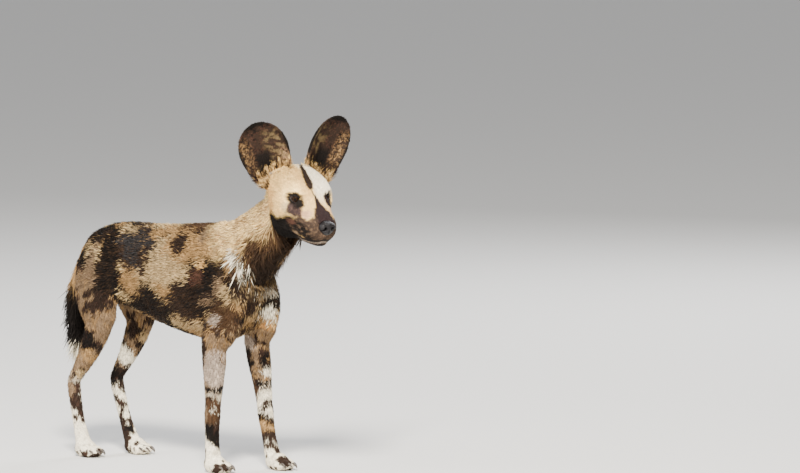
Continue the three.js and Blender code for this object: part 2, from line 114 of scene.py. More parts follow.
def set_camera():
    """Looks at the dog from its right and a little ahead, and frames it as the picture does."""
    right = Vector((math.cos(VIEW_TURN), math.sin(VIEW_TURN), 0))
    back = Vector((math.sin(VIEW_TURN) * math.cos(VIEW_RISE),
                   -math.cos(VIEW_TURN) * math.cos(VIEW_RISE), math.sin(VIEW_RISE)))
    up = back.cross(right)
    breast = Vector((0.1, 0, 0.6))
    target = BODY_ORIGIN + right * PICTURE_MIDDLE[0] + up * PICTURE_MIDDLE[1]
    target += back * breast.dot(back)
    bpy.ops.object.camera_add(location=target + back * VIEW_DISTANCE)
    camera = bpy.context.object
    camera.rotation_euler = back.to_track_quat("Z", "Y").to_euler()
    camera.data.sensor_width = SENSOR
    camera.data.lens = SENSOR * VIEW_DISTANCE / PICTURE_WIDTH
    camera.data.clip_end = 4 * VIEW_DISTANCE
    bpy.context.scene.camera = camera


FLOOR_SIZE = 160
LAMP_AIM = (0.1, 0, 0.45)
# Each lamp has a name, a place, a power, a size and a colour
LAMPS = [
    ("sun_side", (3.0, -3.4, 4.4), 1250, 1.2, (1.0, 0.95, 0.86)),
    ("sky_side", (-3.4, -3.6, 3.0), 190, 3.0, (0.93, 0.96, 1.0)),
    ("back_side", (-1.5, 4.8, 3.6), 300, 2.6, (0.97, 0.98, 1.0)),
]
BACKDROP_COLOUR = (0.93, 0.94, 0.96, 1)
BACKDROP_STRENGTH = 0.6


def add_lamp(name, place, power, size, colour):
    bpy.ops.object.light_add(type="AREA", location=place)
    lamp = bpy.context.object
    lamp.name = name
    lamp.rotation_euler = (Vector(place) - Vector(LAMP_AIM)).to_track_quat("Z", "Y").to_euler()
    lamp.data.energy = power
    lamp.data.size = size
    lamp.data.color = colour


def set_studio():
    """A plain pale floor, one strong warm lamp high ahead of the dog and two weaker ones."""
    bpy.ops.mesh.primitive_plane_add(size=FLOOR_SIZE, location=(0, 0, 0))
    floor = bpy.context.object
    floor.name = "floor"
    floor.data.materials.append(floor_finish())
    for lamp in LAMPS:
        add_lamp(*lamp)
    world = bpy.data.worlds.new("studio")
    bpy.context.scene.world = world
    world.use_nodes = True
    backdrop = world.node_tree.nodes["Background"]
    backdrop.inputs["Color"].default_value = BACKDROP_COLOUR
    backdrop.inputs["Strength"].default_value = BACKDROP_STRENGTH


# Shader nodes as expressions

class Value:
    """One output of a shader node. Arithmetic on it adds Math nodes."""

    def __init__(self, finish, socket):
        self.finish = finish
        self.socket = socket

    def _math(self, operation, *values):
        return self.finish.node("ShaderNodeMath", {"operation": operation}, *values)

    def __add__(self, other):
        return self._math("ADD", self, other)

    def __radd__(self, other):
        return self._math("ADD", other, self)

    def __sub__(self, other):
        return self._math("SUBTRACT", self, other)

    def __rsub__(self, other):
        return self._math("SUBTRACT", other, self)

    def __mul__(self, other):
        return self._math("MULTIPLY", self, other)

    def __rmul__(self, other):
        return self._math("MULTIPLY", other, self)

    def between(self, low, high):
        """0 below low, 1 above high and smooth between them."""
        return self.finish.node(
            "ShaderNodeMapRange", {"interpolation_type": "SMOOTHSTEP"}, self, low, high, 0.0, 1.0)


class Finish:
    """A material, with one method that adds any node and fills its sockets."""

    def __init__(self, name, colour, roughness, **constants):
        self.material = bpy.data.materials.new(name)
        self.material.use_nodes = True
        self.tree = self.material.node_tree
        self.surface = self.tree.nodes["Principled BSDF"]
        self.look(Base_Color=colour, Roughness=roughness, **constants)

    def fill(self, socket, value):
        if isinstance(value, Value):
            self.tree.links.new(value.socket, socket)
        elif socket.type == "RGBA" and len(value) == 3:
            socket.default_value = (*value, 1)
        else:
            socket.default_value = value

    def fill_named(self, sockets, values):
        """Fills sockets by their names, which have underscores for spaces."""
        for name, value in values.items():
            self.fill(sockets[name.replace("_", " ")], value)

    def look(self, **values):
        self.fill_named(self.surface.inputs, values)

    def node(self, kind, settings, *values, output=0, **named):
        made = self.tree.nodes.new(kind)
        for key, value in settings.items():
            setattr(made, key, value)
        for socket, value in zip([s for s in made.inputs if s.enabled], values):
            self.fill(socket, value)
        self.fill_named(made.inputs, named)
        return Value(self, made.outputs[output])

    def mixed(self, share, low, high, blend="MIX"):
        """One colour over another by a share from 0 to 1."""
        return self.node("ShaderNodeMix", {"data_type": "RGBA", "blend_type": blend},
                         share, low, high, output=2)

    def place(self):
        return self.node("ShaderNodeTexCoord", {}, output="Object")

    def stretched(self, scale, turn=(0, 0, 0)):
        """Object coordinates turned and scaled, so that a pattern on them runs one way."""
        return self.node("ShaderNodeMapping", {}, Vector=self.place(), Rotation=turn, Scale=scale)

    def noise(self, place, scale, detail=3.0):
        return self.node("ShaderNodeTexNoise", {}, Vector=place, Scale=scale, Detail=detail,
                         output="Fac")

    def attribute(self, name, output="Color"):
        return self.node("ShaderNodeAttribute", {"attribute_name": name}, output=output)

    def bumped(self, height, strength, distance):
        bump = self.node("ShaderNodeBump", {}, Height=height, Strength=strength, Distance=distance)
        self.look(Normal=bump)


def floor_finish():
    return Finish("floor_pale", (0.72, 0.71, 0.69), 0.9).material


def skin_finish():
    """Short flat hair over the whole skin: the markings, broken by fine streaks."""
    finish = Finish("short_coat", (0.5, 0.4, 0.3), 0.82, Specular_IOR_Level=0.05)
    marks = finish.attribute("marks")
    streaks = finish.noise(finish.stretched((90, 420, 300)), 1.0, 4.0)
    mottle = finish.noise(finish.place(), 60.0, 3.0)
    shade = 0.55 + 0.6 * streaks.between(0.25, 0.75) + 0.3 * mottle.between(0.3, 0.7)
    tone = finish.node("ShaderNodeCombineColor", {}, shade, shade, shade)
    colour = finish.mixed(0.75, marks, tone, "MULTIPLY")
    finish.look(Base_Color=colour, Roughness=0.74 + 0.16 * streaks)
    finish.bumped(streaks + 0.5 * mottle, 0.6, 0.0022)
    return finish.material


def coat_finish():
    """Tufts of hair: the markings, with finer streaks along each tuft."""
    finish = Finish("long_coat", (0.5, 0.4, 0.3), 0.6, Specular_IOR_Level=0.06)
    marks = finish.attribute("marks")
    streaks = finish.noise(finish.place(), 700.0, 2.0)
    shade = 0.82 + 0.36 * streaks
    tone = finish.node("ShaderNodeCombineColor", {}, shade, shade, shade)
    colour = finish.mixed(1.0, marks, tone, "MULTIPLY")
    finish.look(Base_Color=colour, Roughness=0.52 + 0.2 * streaks)
    finish.bumped(streaks, 0.35, 0.0006)
    return finish.material


def nose_finish():
    """Moist black skin in fine pebbles."""
    finish = Finish("nose_leather", (0.02, 0.018, 0.02), 0.35, Coat_Roughness=0.25,
                    Specular_IOR_Level=0.14)
    cells = finish.node("ShaderNodeTexVoronoi", {"feature": "F1"}, Vector=finish.place(),
                        Scale=820.0, output="Distance")
    wear = finish.noise(finish.place(), 140.0, 3.0)
    # Darker in the grooves between the pebbles, where the bump is lowest: painted shade
    colour = finish.mixed(cells.between(0.1, 0.75), (0.016, 0.014, 0.015), (0.006, 0.005, 0.006))
    finish.look(Base_Color=colour, Roughness=0.26 + 0.3 * wear, Coat_Weight=0.03 + 0.16 * wear)
    finish.bumped(1 - cells, 0.55, 0.0007)
    return finish.material


def rim_finish():
    """Bare dark skin of the lids and lips, with fine creases."""
    finish = Finish("bare_dark_skin", (0.02, 0.016, 0.015), 0.6, Specular_IOR_Level=0.06)
    creases = finish.noise(finish.stretched((260, 260, 900)), 1.0, 3.0)
    # Darker in the low grooves of the creases, where the bump is lowest: painted shade
    colour = finish.mixed(creases.between(0.3, 0.7), (0.005, 0.004, 0.004), (0.018, 0.013, 0.012))
    finish.look(Base_Color=colour, Roughness=0.45 + 0.25 * creases)
    finish.bumped(creases, 0.4, 0.0008)
    return finish.material


def lid_highlight_finish():
    """The moist edge of the lower lid, painted paler: partly its own colour and partly a painted
    highlight along the moist rim.
    """
    return Finish("lid_edge_painted_highlight", (0.09, 0.065, 0.058), 0.45, Specular_IOR_Level=0.2).material


def claw_finish():
    """Dark horn with pale streaks that run to the tip."""
    finish = Finish("claw_horn", (0.05, 0.04, 0.035), 0.4)
    streaks = finish.noise(finish.stretched((60, 700, 300)), 1.0, 3.0)
    colour = finish.mixed(streaks.between(0.35, 0.7), (0.02, 0.016, 0.014), (0.13, 0.1, 0.075))
    finish.look(Base_Color=colour, Roughness=0.3 + 0.3 * streaks)
    finish.bumped(streaks, 0.3, 0.0004)
    return finish.material


# How far from the middle of the eye, in metres, the pupil, the iris and its dark rim end
PUPIL_EDGE = (0.0026, 0.0032)
IRIS_EDGE = (0.0062, 0.0076)
RIM_EDGE = (0.0082, 0.0092)


def eye_finish(side):
    """Dark brown iris with a black pupil and a darker rim, round the way the eye looks."""
    finish = Finish("eye_" + side, (0.03, 0.015, 0.008), 0.05, Specular_IOR_Level=0.06)
    gaze = eye_axes(side)[0]
    centre = middle("eye_" + side)
    away = finish.node("ShaderNodeVectorMath", {"operation": "SUBTRACT"}, finish.place(), centre)
    across = finish.node("ShaderNodeVectorMath", {"operation": "CROSS_PRODUCT"}, away, gaze)
    radius = finish.node("ShaderNodeVectorMath", {"operation": "LENGTH"}, across, output="Value")
    fibres = finish.noise(finish.stretched((900, 900, 900)), 1.0, 4.0)
    iris = finish.mixed(fibres.between(0.3, 0.7), (0.007, 0.0035, 0.002), (0.024, 0.011, 0.005))
    rimmed = finish.mixed(radius.between(*IRIS_EDGE), iris, (0.006, 0.004, 0.003))
    ball = finish.mixed(radius.between(*RIM_EDGE), rimmed, (0.03, 0.02, 0.016))
    colour = finish.mixed(radius.between(*PUPIL_EDGE), (0.002, 0.002, 0.002), ball)
    finish.look(Base_Color=colour)
    return finish.material


# Mesh helpers

def deselect():
    if bpy.context.object and bpy.context.object.mode != "OBJECT":
        bpy.ops.object.mode_set(mode="OBJECT")
    bpy.ops.object.select_all(action="DESELECT")


def select_only(obj):
    deselect()
    obj.select_set(True)
    bpy.context.view_layer.objects.active = obj


def placed(name, data):
    """A new object in the scene, of a mesh or a curve."""
    obj = bpy.data.objects.new(name, data)
    bpy.context.scene.collection.objects.link(obj)
    return obj


def in_edit_mode(obj, *steps):
    """Runs operators, each with its settings, on all the faces of an object."""
    select_only(obj)
    bpy.ops.object.mode_set(mode="EDIT")
    bpy.ops.mesh.select_all(action="SELECT")
    for operator, settings in steps:
        operator(**settings)
    bpy.ops.object.mode_set(mode="OBJECT")


WELD = (bpy.ops.mesh.remove_doubles, {"threshold": 1e-6})
FACE_OUTWARD = (bpy.ops.mesh.normals_make_consistent, {"inside": False})
UNWRAP = (bpy.ops.uv.smart_project, {"angle_limit": math.radians(70), "island_margin": 0.001})


def merged_copy(node, name):
    """A copy of a node's mesh whose loose triangles are joined at their corners."""
    copy = placed(name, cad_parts[node].data.copy())
    copy.data.materials.clear()
    in_edit_mode(copy, WELD)
    return copy


def corners(mesh):
    places = np.empty(len(mesh.vertices) * 3, np.float32)
    mesh.vertices.foreach_get("co", places)
    return places.reshape(-1, 3).astype(float)


def set_corners(mesh, places):
    mesh.vertices.foreach_set("co", places.astype(np.float32).ravel())
    mesh.update()


def facings(mesh):
    values = np.empty(len(mesh.vertices) * 3, np.float32)
    mesh.vertex_normals.foreach_get("vector", values)
    return values.reshape(-1, 3).astype(float)


def neighbours(mesh):
    """Each corner and a neighbour of it, in two lists, and how many neighbours a corner has."""
    ends = np.empty(len(mesh.edges) * 2, np.int32)
    mesh.edges.foreach_get("vertices", ends)
    first, last = ends.reshape(-1, 2).T
    order, other = np.concatenate([first, last]), np.concatenate([last, first])
    return order, other, np.maximum(np.bincount(order, minlength=len(mesh.vertices)), 1)


def joined(objects, name):
    deselect()
    for obj in objects:
        obj.select_set(True)
    bpy.context.view_layer.objects.active = objects[0]
    bpy.ops.object.join()
    result = bpy.context.object
    result.name = name
    return result


def apply_modifier(obj, kind, **settings):
    select_only(obj)
    modifier = obj.modifiers.new(kind.lower(), kind)
    for key, value in settings.items():
        setattr(modifier, key, value)
    bpy.ops.object.modifier_apply(modifier=modifier.name)


def remeshed(obj, voxel):
    select_only(obj)
    obj.data.remesh_voxel_size = voxel
    obj.data.remesh_voxel_adaptivity = 0
    bpy.ops.object.voxel_remesh()


def relax(mesh, weights, rounds):
    """Moves each corner towards the middle of its neighbours, by its own share, many times."""
    order, other, degree = neighbours(mesh)
    places = corners(mesh)
    share = weights[:, None]
    for _ in range(rounds):
        sums = np.stack([np.bincount(order, places[other, k], len(places)) for k in range(3)], 1)
        places += share * (sums / degree[:, None] - places)
    set_corners(mesh, places)


def round_tube(name, rings, resolution=6):
    """A closed tube through places with radii."""
    curve = bpy.data.curves.new(name, "CURVE")
    curve.dimensions = "3D"
    curve.bevel_depth = 1.0
    curve.bevel_resolution = resolution
    curve.use_fill_caps = True
    spline = curve.splines.new("NURBS")
    spline.points.add(len(rings) - 1)
    for point, (place, radius) in zip(spline.points, rings):
        point.co = (*place, 1)
        point.radius = radius
    spline.order_u = 3
    spline.use_endpoint_u = True
    spline.resolution_u = 6
    select_only(placed(name, curve))
    bpy.ops.object.convert(target="MESH")
    tube = bpy.context.object
    in_edit_mode(tube, WELD, FACE_OUTWARD)
    return tube


def add_ball(name, place, radii, turn=None, segments=32):
    """A round form whose place is in its mesh."""
    deselect()
    bpy.ops.mesh.primitive_uv_sphere_add(segments=segments, ring_count=segments // 2, radius=1)
    ball = bpy.context.object
    ball.name = name
    shape = (turn or Matrix.Identity(4)) @ Matrix.Diagonal((*radii, 1))
    ball.data.transform(Matrix.Translation(place) @ shape)
    return ball


# Noise that is the same on every run

GRAIN = np.random.default_rng(11).random((32, 32, 32))


def grain(places, size, shift=0):
    """Smooth noise from 0 to 1 at places in millimetres, with lumps of the given size."""
    spot = places / size + shift * 7.3
    cell = np.floor(spot).astype(int)
    part = spot - cell
    part = part * part * (3 - 2 * part)
    total = 0
    for corner in range(8):
        step = np.array([corner & 1, corner >> 1 & 1, corner >> 2 & 1])
        share = np.prod(np.where(step, part, 1 - part), 1)
        index = (cell + step) % 32
        total = total + share * GRAIN[index[:, 0], index[:, 1], index[:, 2]]
    return total


def ease(value, low, high):
    share = np.clip((value - low) / (high - low), 0, 1)
    return share * share * (3 - 2 * share)


# Markings

WHITE = (0.93, 0.84, 0.66)
CREAM = (0.92, 0.63, 0.25)
STRAW = (0.66, 0.47, 0.23)
FAWN = (0.5, 0.35, 0.175)
TAN = (0.4, 0.24, 0.1)
OCHRE = (0.62, 0.37, 0.14)
ORANGE = (0.5, 0.25, 0.085)
PINKISH = (0.58, 0.35, 0.2)
RUST = (0.075, 0.035, 0.024)
HAZEL = (0.05, 0.033, 0.024)
MAUVE = (0.058, 0.037, 0.034)
PLUM = (0.024, 0.015, 0.015)
BRINDLE = (0.22, 0.145, 0.085)
OLIVE = (0.19, 0.135, 0.065)
ASHEN = (0.42, 0.33, 0.26)
GREY = (0.26, 0.24, 0.22)
SLATE = (0.034, 0.031, 0.031)
BROWN = (0.07, 0.038, 0.02)
UMBER = (0.03, 0.019, 0.014)
BLACK = (0.01, 0.008, 0.007)

# Each patch on the body has a middle, a reach to its edge and a colour, in millimetres. They are
# laid one over another in this order. The first list is seen from the dog's right, the second
# from its left, and the third on both sides.
RIGHT_PATCHES = [
    ((-120, -95, 490), (76, 60, 84), FAWN),
    ((-56, -80, 540), (64, 60, 40), TAN),
    ((-190, -80, 385), (90, 50, 48), BLACK),
    ((-64, -90, 404), (60, 50, 50), UMBER),
    ((-132, -96, 432), (26, 40, 20), TAN),
    ((-120, -60, 345), (40, 50, 24), FAWN),
    ((-262, -80, 536), (78, 62, 48), SLATE),
    ((-280, -40, 590), (70, 90, 24), UMBER),
    ((-292, -80, 476), (26, 50, 74), UMBER),
    ((-252, -92, 445), (32, 40, 32), TAN),
    ((-322, -82, 462), (34, 60, 112), BLACK),
    ((-356, -40, 572), (92, 90, 38), BLACK),
    ((-376, -96, 456), (17, 40, 96), BRINDLE),
    ((-430, -84, 478), (40, 50, 96), BLACK),
    ((-408, -96, 446), (11, 40, 34), RUST),
    ((-396, -96, 352), (34, 50, 26), BRINDLE),
    ((-366, -96, 322), (30, 50, 38), BLACK),
    ((15, -78, 540), (46, 40, 32), TAN),
    ((30, -84, 450), (80, 60, 70), BLACK),
    ((62, -90, 452), (20, 30, 24), BRINDLE),
    ((20, -90, 416), (26, 30, 12), BRINDLE),
    ((-14, -90, 470), (24, 30, 18), RUST),
    ((-2, -90, 500), (20, 30, 9), OCHRE),
    ((70, -70, 380), (44, 50, 40), BROWN),
    ((44, -90, 372), (22, 30, 12), ASHEN),
    ((116, -76, 514), (28, 34, 42), WHITE),
]
WHITE_SHOULDER = RIGHT_PATCHES[-1]
LEFT_PATCHES = [
    ((-60, 95, 480), (80, 60, 90), BLACK),
    ((-140, 95, 440), (60, 60, 70), STRAW),
    ((-150, 95, 530), (50, 60, 40), WHITE),
    ((-230, 90, 470), (46, 60, 70), BLACK),
    ((-290, 90, 500), (36, 60, 50), TAN),
    ((-352, 40, 575), (80, 60, 32), BLACK),
    ((-380, 95, 470), (36, 60, 60), BLACK),
    ((-410, 95, 420), (28, 60, 40), WHITE),
    ((-380, 95, 380), (36, 60, 30), TAN),
    ((20, 85, 520), (50, 50, 40), TAN),
    ((40, 90, 440), (54, 50, 56), BLACK),
    ((50, 95, 420), (28, 40, 22), WHITE),
    ((96, 80, 490), (24, 40, 42), STRAW),
]
SHARED_PATCHES = [
    ((122, 30, 440), (22, 36, 15), WHITE),
    ((116, 30, 414), (24, 40, 14), BLACK),
    ((108, 40, 384), (20, 24, 20), WHITE),
    ((92, 50, 336), (28, 28, 26), ORANGE),
    ((-60, 0, 590), (110, 40, 30), BROWN),
    ((-180, 0, 595), (70, 34, 26), STRAW),
    ((-150, 0, 330), (150, 46, 24), BLACK),
]
LEG_PATCHES = [
    ((20, 47, 304), (22, 34, 18), ASHEN),
    ((20, 60, 268), (24, 40, 24), BLACK),
    ((66, 72, 262), (16, 40, 20), BLACK),
    ((64, 78, 236), (16, 34, 15), WHITE),
    ((66, 72, 208), (18, 40, 13), BLACK),
    ((66, 80, 184), (20, 34, 15), WHITE),
    ((30, 64, 196), (20, 30, 34), BROWN),
    ((60, 60, 120), (20, 26, 24), BLACK),
    ((48, -84, 250), (30, 34, 40), ASHEN),
    ((26, -64, 206), (20, 26, 12), BLACK),
    ((24, -78, 150), (22, 30, 34), BROWN),
    ((50, -66, 84), (22, 26, 26), BLACK),
    ((-392, -86, 300), (26, 30, 30), BLACK),
    ((-400, -60, 262), (20, 24, 20), TAN),
    ((-462, -70, 150), (22, 26, 34), UMBER),
    ((-380, 82, 310), (36, 34, 26), BLACK),
    ((-404, 60, 250), (24, 30, 24), WHITE),
    ((-446, 66, 190), (26, 32, 30), BLACK),
    ((-420, 70, 70), (26, 30, 26), UMBER),
]

# Patches on the head, on both sides of it
HEAD_PATCHES = [
    ((-58, 70, -30), (34, 30, 40), OCHRE),
    ((-90, 62, 10), (24, 34, 34), GREY),
    ((24, 60, -20), (20, 16, 12), STRAW),
    ((104, 26, -48), (44, 36, 32), HAZEL),
    ((44, 48, -18), (23, 22, 19), MAUVE),
    ((73, 34, -19), (17, 18, 12), PINKISH),
    ((66, 40, -44), (32, 26, 17), HAZEL),
    ((46, 46, -60), (72, 36, 21), BLACK),
    ((-10, 56, -82), (84, 60, 32), BLACK),
    ((-30, 0, -104), (120, 90, 28), BLACK),
    ((34, 48, -50), (14, 20, 6), RUST),
    ((47, 42, -74), (10, 20, 6), BRINDLE),
    ((88, 0, -92), (86, 60, 25), BLACK),
]

# Lines of varying half width: down the forehead from the crown, seen from above, from there to the
# top of the muzzle, and beside the left eye
FOREHEAD_STRIPE = [((-60, 12, 0), 4), ((-40, 5, 0), 5.5), ((-10, -3, 0), 7.5), ((20, -7, 0), 9.5),
                   ((31, -9, 0), 7), ((36, -9, 0), 1.2), ((50, -4, 0), 1.6)]
BRIDGE_STRIPE = [((46, -3, 19), 1.5), ((60, 0, 5), 6), ((74, 1, -3), 12), ((90, 1, -10), 22),
                 ((112, 0, -20), 25)]
FAR_EYE_STRIPE = [((42, 29, 19), 4), ((47, 29, 12), 9), ((54, 31, 1), 10), ((53, 39, -10), 6)]


def laid(colours, share, colour):
    return colours + share[:, None] * (np.array(colour) - colours)


def patched(colours, places, patches, mirrored=False, ragged=1.0, edge=0.1):
    """Lays patches with ragged edges over the colours."""
    wander = sum(share * (grain(places, size, number) - 0.5)
                 for number, (size, share) in enumerate(((30, 0.9), (13, 0.6), (5, 0.45))))
    spots = places * [1, 0, 1] + np.abs(places) * [0, 1, 0] if mirrored else places
    for spot, reach, colour in patches:
        away = np.linalg.norm((spots - spot) / reach, axis=1) + ragged * wander
        colours = laid(colours, 1 - ease(away, 1 - edge, 1 + edge), colour)
    return colours


def distance_to_line(places, rows):
    """How far inside a line of varying half width each place is, 1 on the line and 0 at its edge."""
    inside = np.full(len(places), -9.0)
    for (start, wide), (end, slim) in zip(rows, rows[1:]):
        start, end = np.array(start, float), np.array(end, float)
        along = np.clip((places - start) @ (end - start) / ((end - start) @ (end - start)), 0, 1)
        away = np.linalg.norm(places - start - along[:, None] * (end - start), axis=1)
        inside = np.maximum(inside, 1 - away / (wide + along * (slim - wide)))
    return inside


EYE_PATCH = (27, 20)


def eye_outline(places):
    """The dark almond round each eye: 0 along its middle and 1 at its edge."""
    outline = np.full(len(places), 9.0)
    for side in SIDES:
        gaze, outer, up = (np.array(axis) for axis in eye_axes(side))
        away = (places - np.array(middle("eye_" + side))) / MM
        value = ((away @ outer + 1) / EYE_PATCH[0]) ** 2 + np.abs(away @ up + 1) / EYE_PATCH[1]
        outline = np.where(away @ gaze > 0, np.minimum(outline, value), outline)
    return outline


# The line between the lips: turns round a point in the muzzle from straight ahead to the corner
# of the mouth, and the height of the line there
MOUTH_MIDDLE_AHEAD = 40
MOUTH_TURNS = [0, 14, 28, 45, 65, 90, 112, 130]
MOUTH_HEIGHTS = [-70, -76, -80, -82.5, -83, -81.5, -79, -75]


def mouth_height(spots):
    """The height of the line of the mouth, seen from a point in the muzzle."""
    turn = np.degrees(np.arctan2(np.abs(spots[:, 1]), spots[:, 0] - MOUTH_MIDDLE_AHEAD))
    return np.interp(turn, MOUTH_TURNS, MOUTH_HEIGHTS)


def head_marks(places):
    """Cream with a left brow painted whiter as sunlit, dark stripes, a black cheek and a plum and
    brown muzzle.
    """
    spots = on_head(places)
    fine = grain(spots, 5, 1)
    warm = 0.1 + 0.6 * ease(-spots[:, 0], -30, 70) * ease(-spots[:, 2], -50, 10)
    warm += 0.4 * ease(spots[:, 0], 20, 50) + 0.5 * (fine - 0.5)
    warm += 0.55 * ease(-np.abs(spots[:, 1] + 22), -18, -4) * ease(spots[:, 2], 10, 30)
    colours = laid(np.tile(CREAM, (len(spots), 1)), np.clip(warm, 0, 1) * 0.7, OCHRE)
    # The left brow is painted whiter: painted sunlight on the side of the forehead that the sun
    # falls on
    pale = ease(spots[:, 1], -10, 6) * ease(spots[:, 2], -10, 26) * ease(spots[:, 0], -80, -40)
    streaks = ease(grain(spots * [0.35, 1, 1], 3.4, 24), 0.55, 0.8)
    colours = laid(colours, 0.5 * streaks * ease(-spots[:, 0], -60, 20), TAN)
    colours = laid(colours, 0.9 * pale, WHITE)
    snout = ease(spots[:, 0], 62, 82) * ease(-spots[:, 2] + 6 * (fine - 0.5), 26, 38)
    colours = laid(colours, snout, HAZEL)
    colours = patched(colours, spots, HEAD_PATCHES, mirrored=True, ragged=0.6, edge=0.18)
    hairs = ease(grain(spots * [0.3, 1, 1], 2.6, 17), 0.55, 0.8) * ease(spots[:, 0], 10, 50)
    colours = laid(colours, 0.16 * hairs, PINKISH)
    for line, where, colour in ((BRIDGE_STRIPE, spots, PLUM), (FAR_EYE_STRIPE, spots, PLUM),
                                (FOREHEAD_STRIPE, spots * [1, 1, 0], UMBER)):
        inside = distance_to_line(where, line) + 0.36 * (fine - 0.5)
        inside -= 9 * (spots[:, 2] < -45)
        colours = laid(colours, ease(inside, -0.12, 0.16), colour)
    above = spots[:, 2] - mouth_height(spots) + 2 * (fine - 0.5)
    front = ease(spots[:, 0], 34, 60)
    colours = laid(colours, front * ease(above, -3, -1) * ease(-above, -5, -2), BLACK)
    colours = laid(colours, 0.55 * front * ease(above, -8.5, -7) * ease(-above, 2.5, 4), ASHEN)
    dark = 1.1 - eye_outline(places) + 0.3 * (fine - 0.5)
    colours = laid(colours, 0.85 * ease(dark, 0, 0.25), MAUVE)
    return laid(colours, ease(dark, 0.15, 0.42), BLACK)


def ear_marks(places, side):
    """Black rim and back, and inside dark brown mottled with tan, with a painted shadow of the ear
    canal down the middle near the base and tan hair at its base.
    """
    spots = on_head(places)
    along, across, inner = ear_place(places, side)
    medial = -SIDES[side] * across
    coarse, fine = grain(spots, 9, 2), grain(spots, 2.6, 4)
    streaks = grain(spots * [1, 1, 0.3], 4, 19)
    colours = np.tile(UMBER, (len(spots), 1)).astype(float)
    colours = laid(colours, ease(coarse, 0.46, 0.62), BLACK)
    middle_part = ease(along, 0.12, 0.3) * ease(-along, -0.86, -0.66)
    layers = [
        (0.6 * ease(fine + 0.5 * coarse, 0.76, 1.0), RUST),
        (0.55 * ease(-medial, 0.3, 0.75) * middle_part * ease(fine + 0.3 * coarse, 0.6, 0.85), TAN),
        (0.6 * ease(medial, -0.1, 0.35) * middle_part * ease(coarse + 0.3 * fine, 0.55, 0.8), OLIVE),
        (0.5 * ease(medial, 0.4, 0.75) * ease(-along, -0.5, -0.3) * ease(fine, 0.35, 0.7), PINKISH),
        # A black streak down the middle of the inside, low in the ear: painted shadow of the ear
        # canal
        (ease(-np.abs(medial + 0.12), -0.42, -0.2) * ease(-along, -0.5, -0.36), BLACK),
    ]
    for share, colour in layers:
        colours = laid(colours, share * inner, colour)
    base = ease(0.17 - along + 0.1 * medial + 0.3 * (streaks - 0.5), 0, 0.12) * inner
    colours = laid(colours, base, TAN)
    colours = laid(colours, 0.6 * base * ease(streaks, 0.52, 0.75), CREAM)
    colours = laid(colours, base * ease(-streaks, -0.48, -0.36), UMBER)
    colours = laid(colours, (1 - inner) * ease(0.22 - along, 0, 0.2), TAN)
    rim = ease(np.abs(across) + 0.12 * coarse, 0.84, 0.96) + ease(along + 0.05 * coarse, 0.9, 0.97)
    return laid(colours, np.clip(rim, 0, 1) * ease(along, 0.02, 0.16), BLACK)


def neck_marks(places):
    """Tan sides with straw and cream streaks, and a dark ruff with tan locks under the throat."""
    spots = on_body(places)
    streaks = grain(spots * [0.35, 1, 1], 8, 6)
    colours = laid(np.tile(TAN, (len(spots), 1)), ease(streaks, 0.25, 0.5), STRAW)
    colours = laid(colours, 0.8 * ease(streaks, 0.45, 0.75), CREAM)
    low = neck_depth(spots) + 26 * (grain(spots, 26, 7) - 0.5) + 14 * (streaks - 0.5)
    colours = laid(colours, ease(low, 6, 26), BROWN)
    colours = laid(colours, ease(low, 30, 60) * 0.8, BLACK)
    golden = ease(grain(spots * [0.6, 0.6, 1], 15, 8), 0.58, 0.75)
    return laid(colours, 0.6 * golden * ease(low, 10, 30), TAN)


NECK_LINE = [(10, 500), (105, 560), (205, 622), (270, 650)]


def neck_depth(spots):
    """How far below the middle of the neck a place is, in millimetres."""
    xs, zs = zip(*NECK_LINE)
    return np.interp(spots[:, 0], xs, zs) - spots[:, 2]


def scattered(seed, count, low, high):
    """Small spots at random places in a box, in the colours of the coat."""
    draw = np.random.default_rng(seed)
    palette = [BLACK, BLACK, UMBER, TAN, BRINDLE, FAWN, STRAW]
    return [(draw.uniform(low, high), draw.uniform(7, 20) * draw.uniform(0.7, 1.5, 3),
             palette[draw.integers(len(palette))]) for _ in range(count)]


TRUNK_SPOTS = scattered(5, 150, (-450, -95, 330), (125, 95, 600))
LEG_SPOTS = scattered(6, 110, (-480, -100, 20), (90, 100, 340))


def body_marks(places):
    """Fawn and tan, broken by dark mottles, with the larger patches of each side over them."""
    spots = on_body(places)
    coarse = 0.6 * grain(spots, 44, 9) + 0.4 * grain(spots, 17, 20)
    fine = grain(spots, 7, 10)
    colours = laid(np.tile(FAWN, (len(spots), 1)), ease(grain(spots, 60, 21), 0.4, 0.6), TAN)
    colours = laid(colours, ease(coarse + 0.12 * (fine - 0.5), 0.51, 0.56), UMBER)
    right, left = spots[:, 1] < 0, spots[:, 1] >= 0
    colours[right] = patched(colours[right], spots[right], RIGHT_PATCHES)
    colours[left] = patched(colours[left], spots[left], LEFT_PATCHES)
    colours = patched(colours, spots, SHARED_PATCHES)
    colours = patched(colours, spots, TRUNK_SPOTS)
    flecks = ease(grain(spots * [0.3, 1, 1], 5, 12), 0.5, 0.72)
    return laid(colours, 0.42 * flecks, BROWN)


def leg_marks(places):
    """Brindled brown and tan above, white below, with dark blotches all the way down."""
    spots = on_body(places)
    coarse = 0.6 * grain(spots, 34, 13) + 0.4 * grain(spots, 13, 22)
    fine = grain(spots, 6, 14)
    low = ease(-spots[:, 2] + 60 * (coarse - 0.5), -230, -150)
    colours = laid(np.tile(BRINDLE, (len(spots), 1)), ease(fine + coarse, 0.9, 1.15), TAN)
    colours = laid(colours, low, WHITE)
    colours = laid(colours, ease(coarse + 0.12 * (fine - 0.5), 0.51, 0.56), UMBER)
    colours = patched(colours, spots, LEG_PATCHES)
    colours = patched(colours, spots, LEG_SPOTS)
    return laid(colours, 0.3 * ease(fine, 0.6, 0.8), RUST)


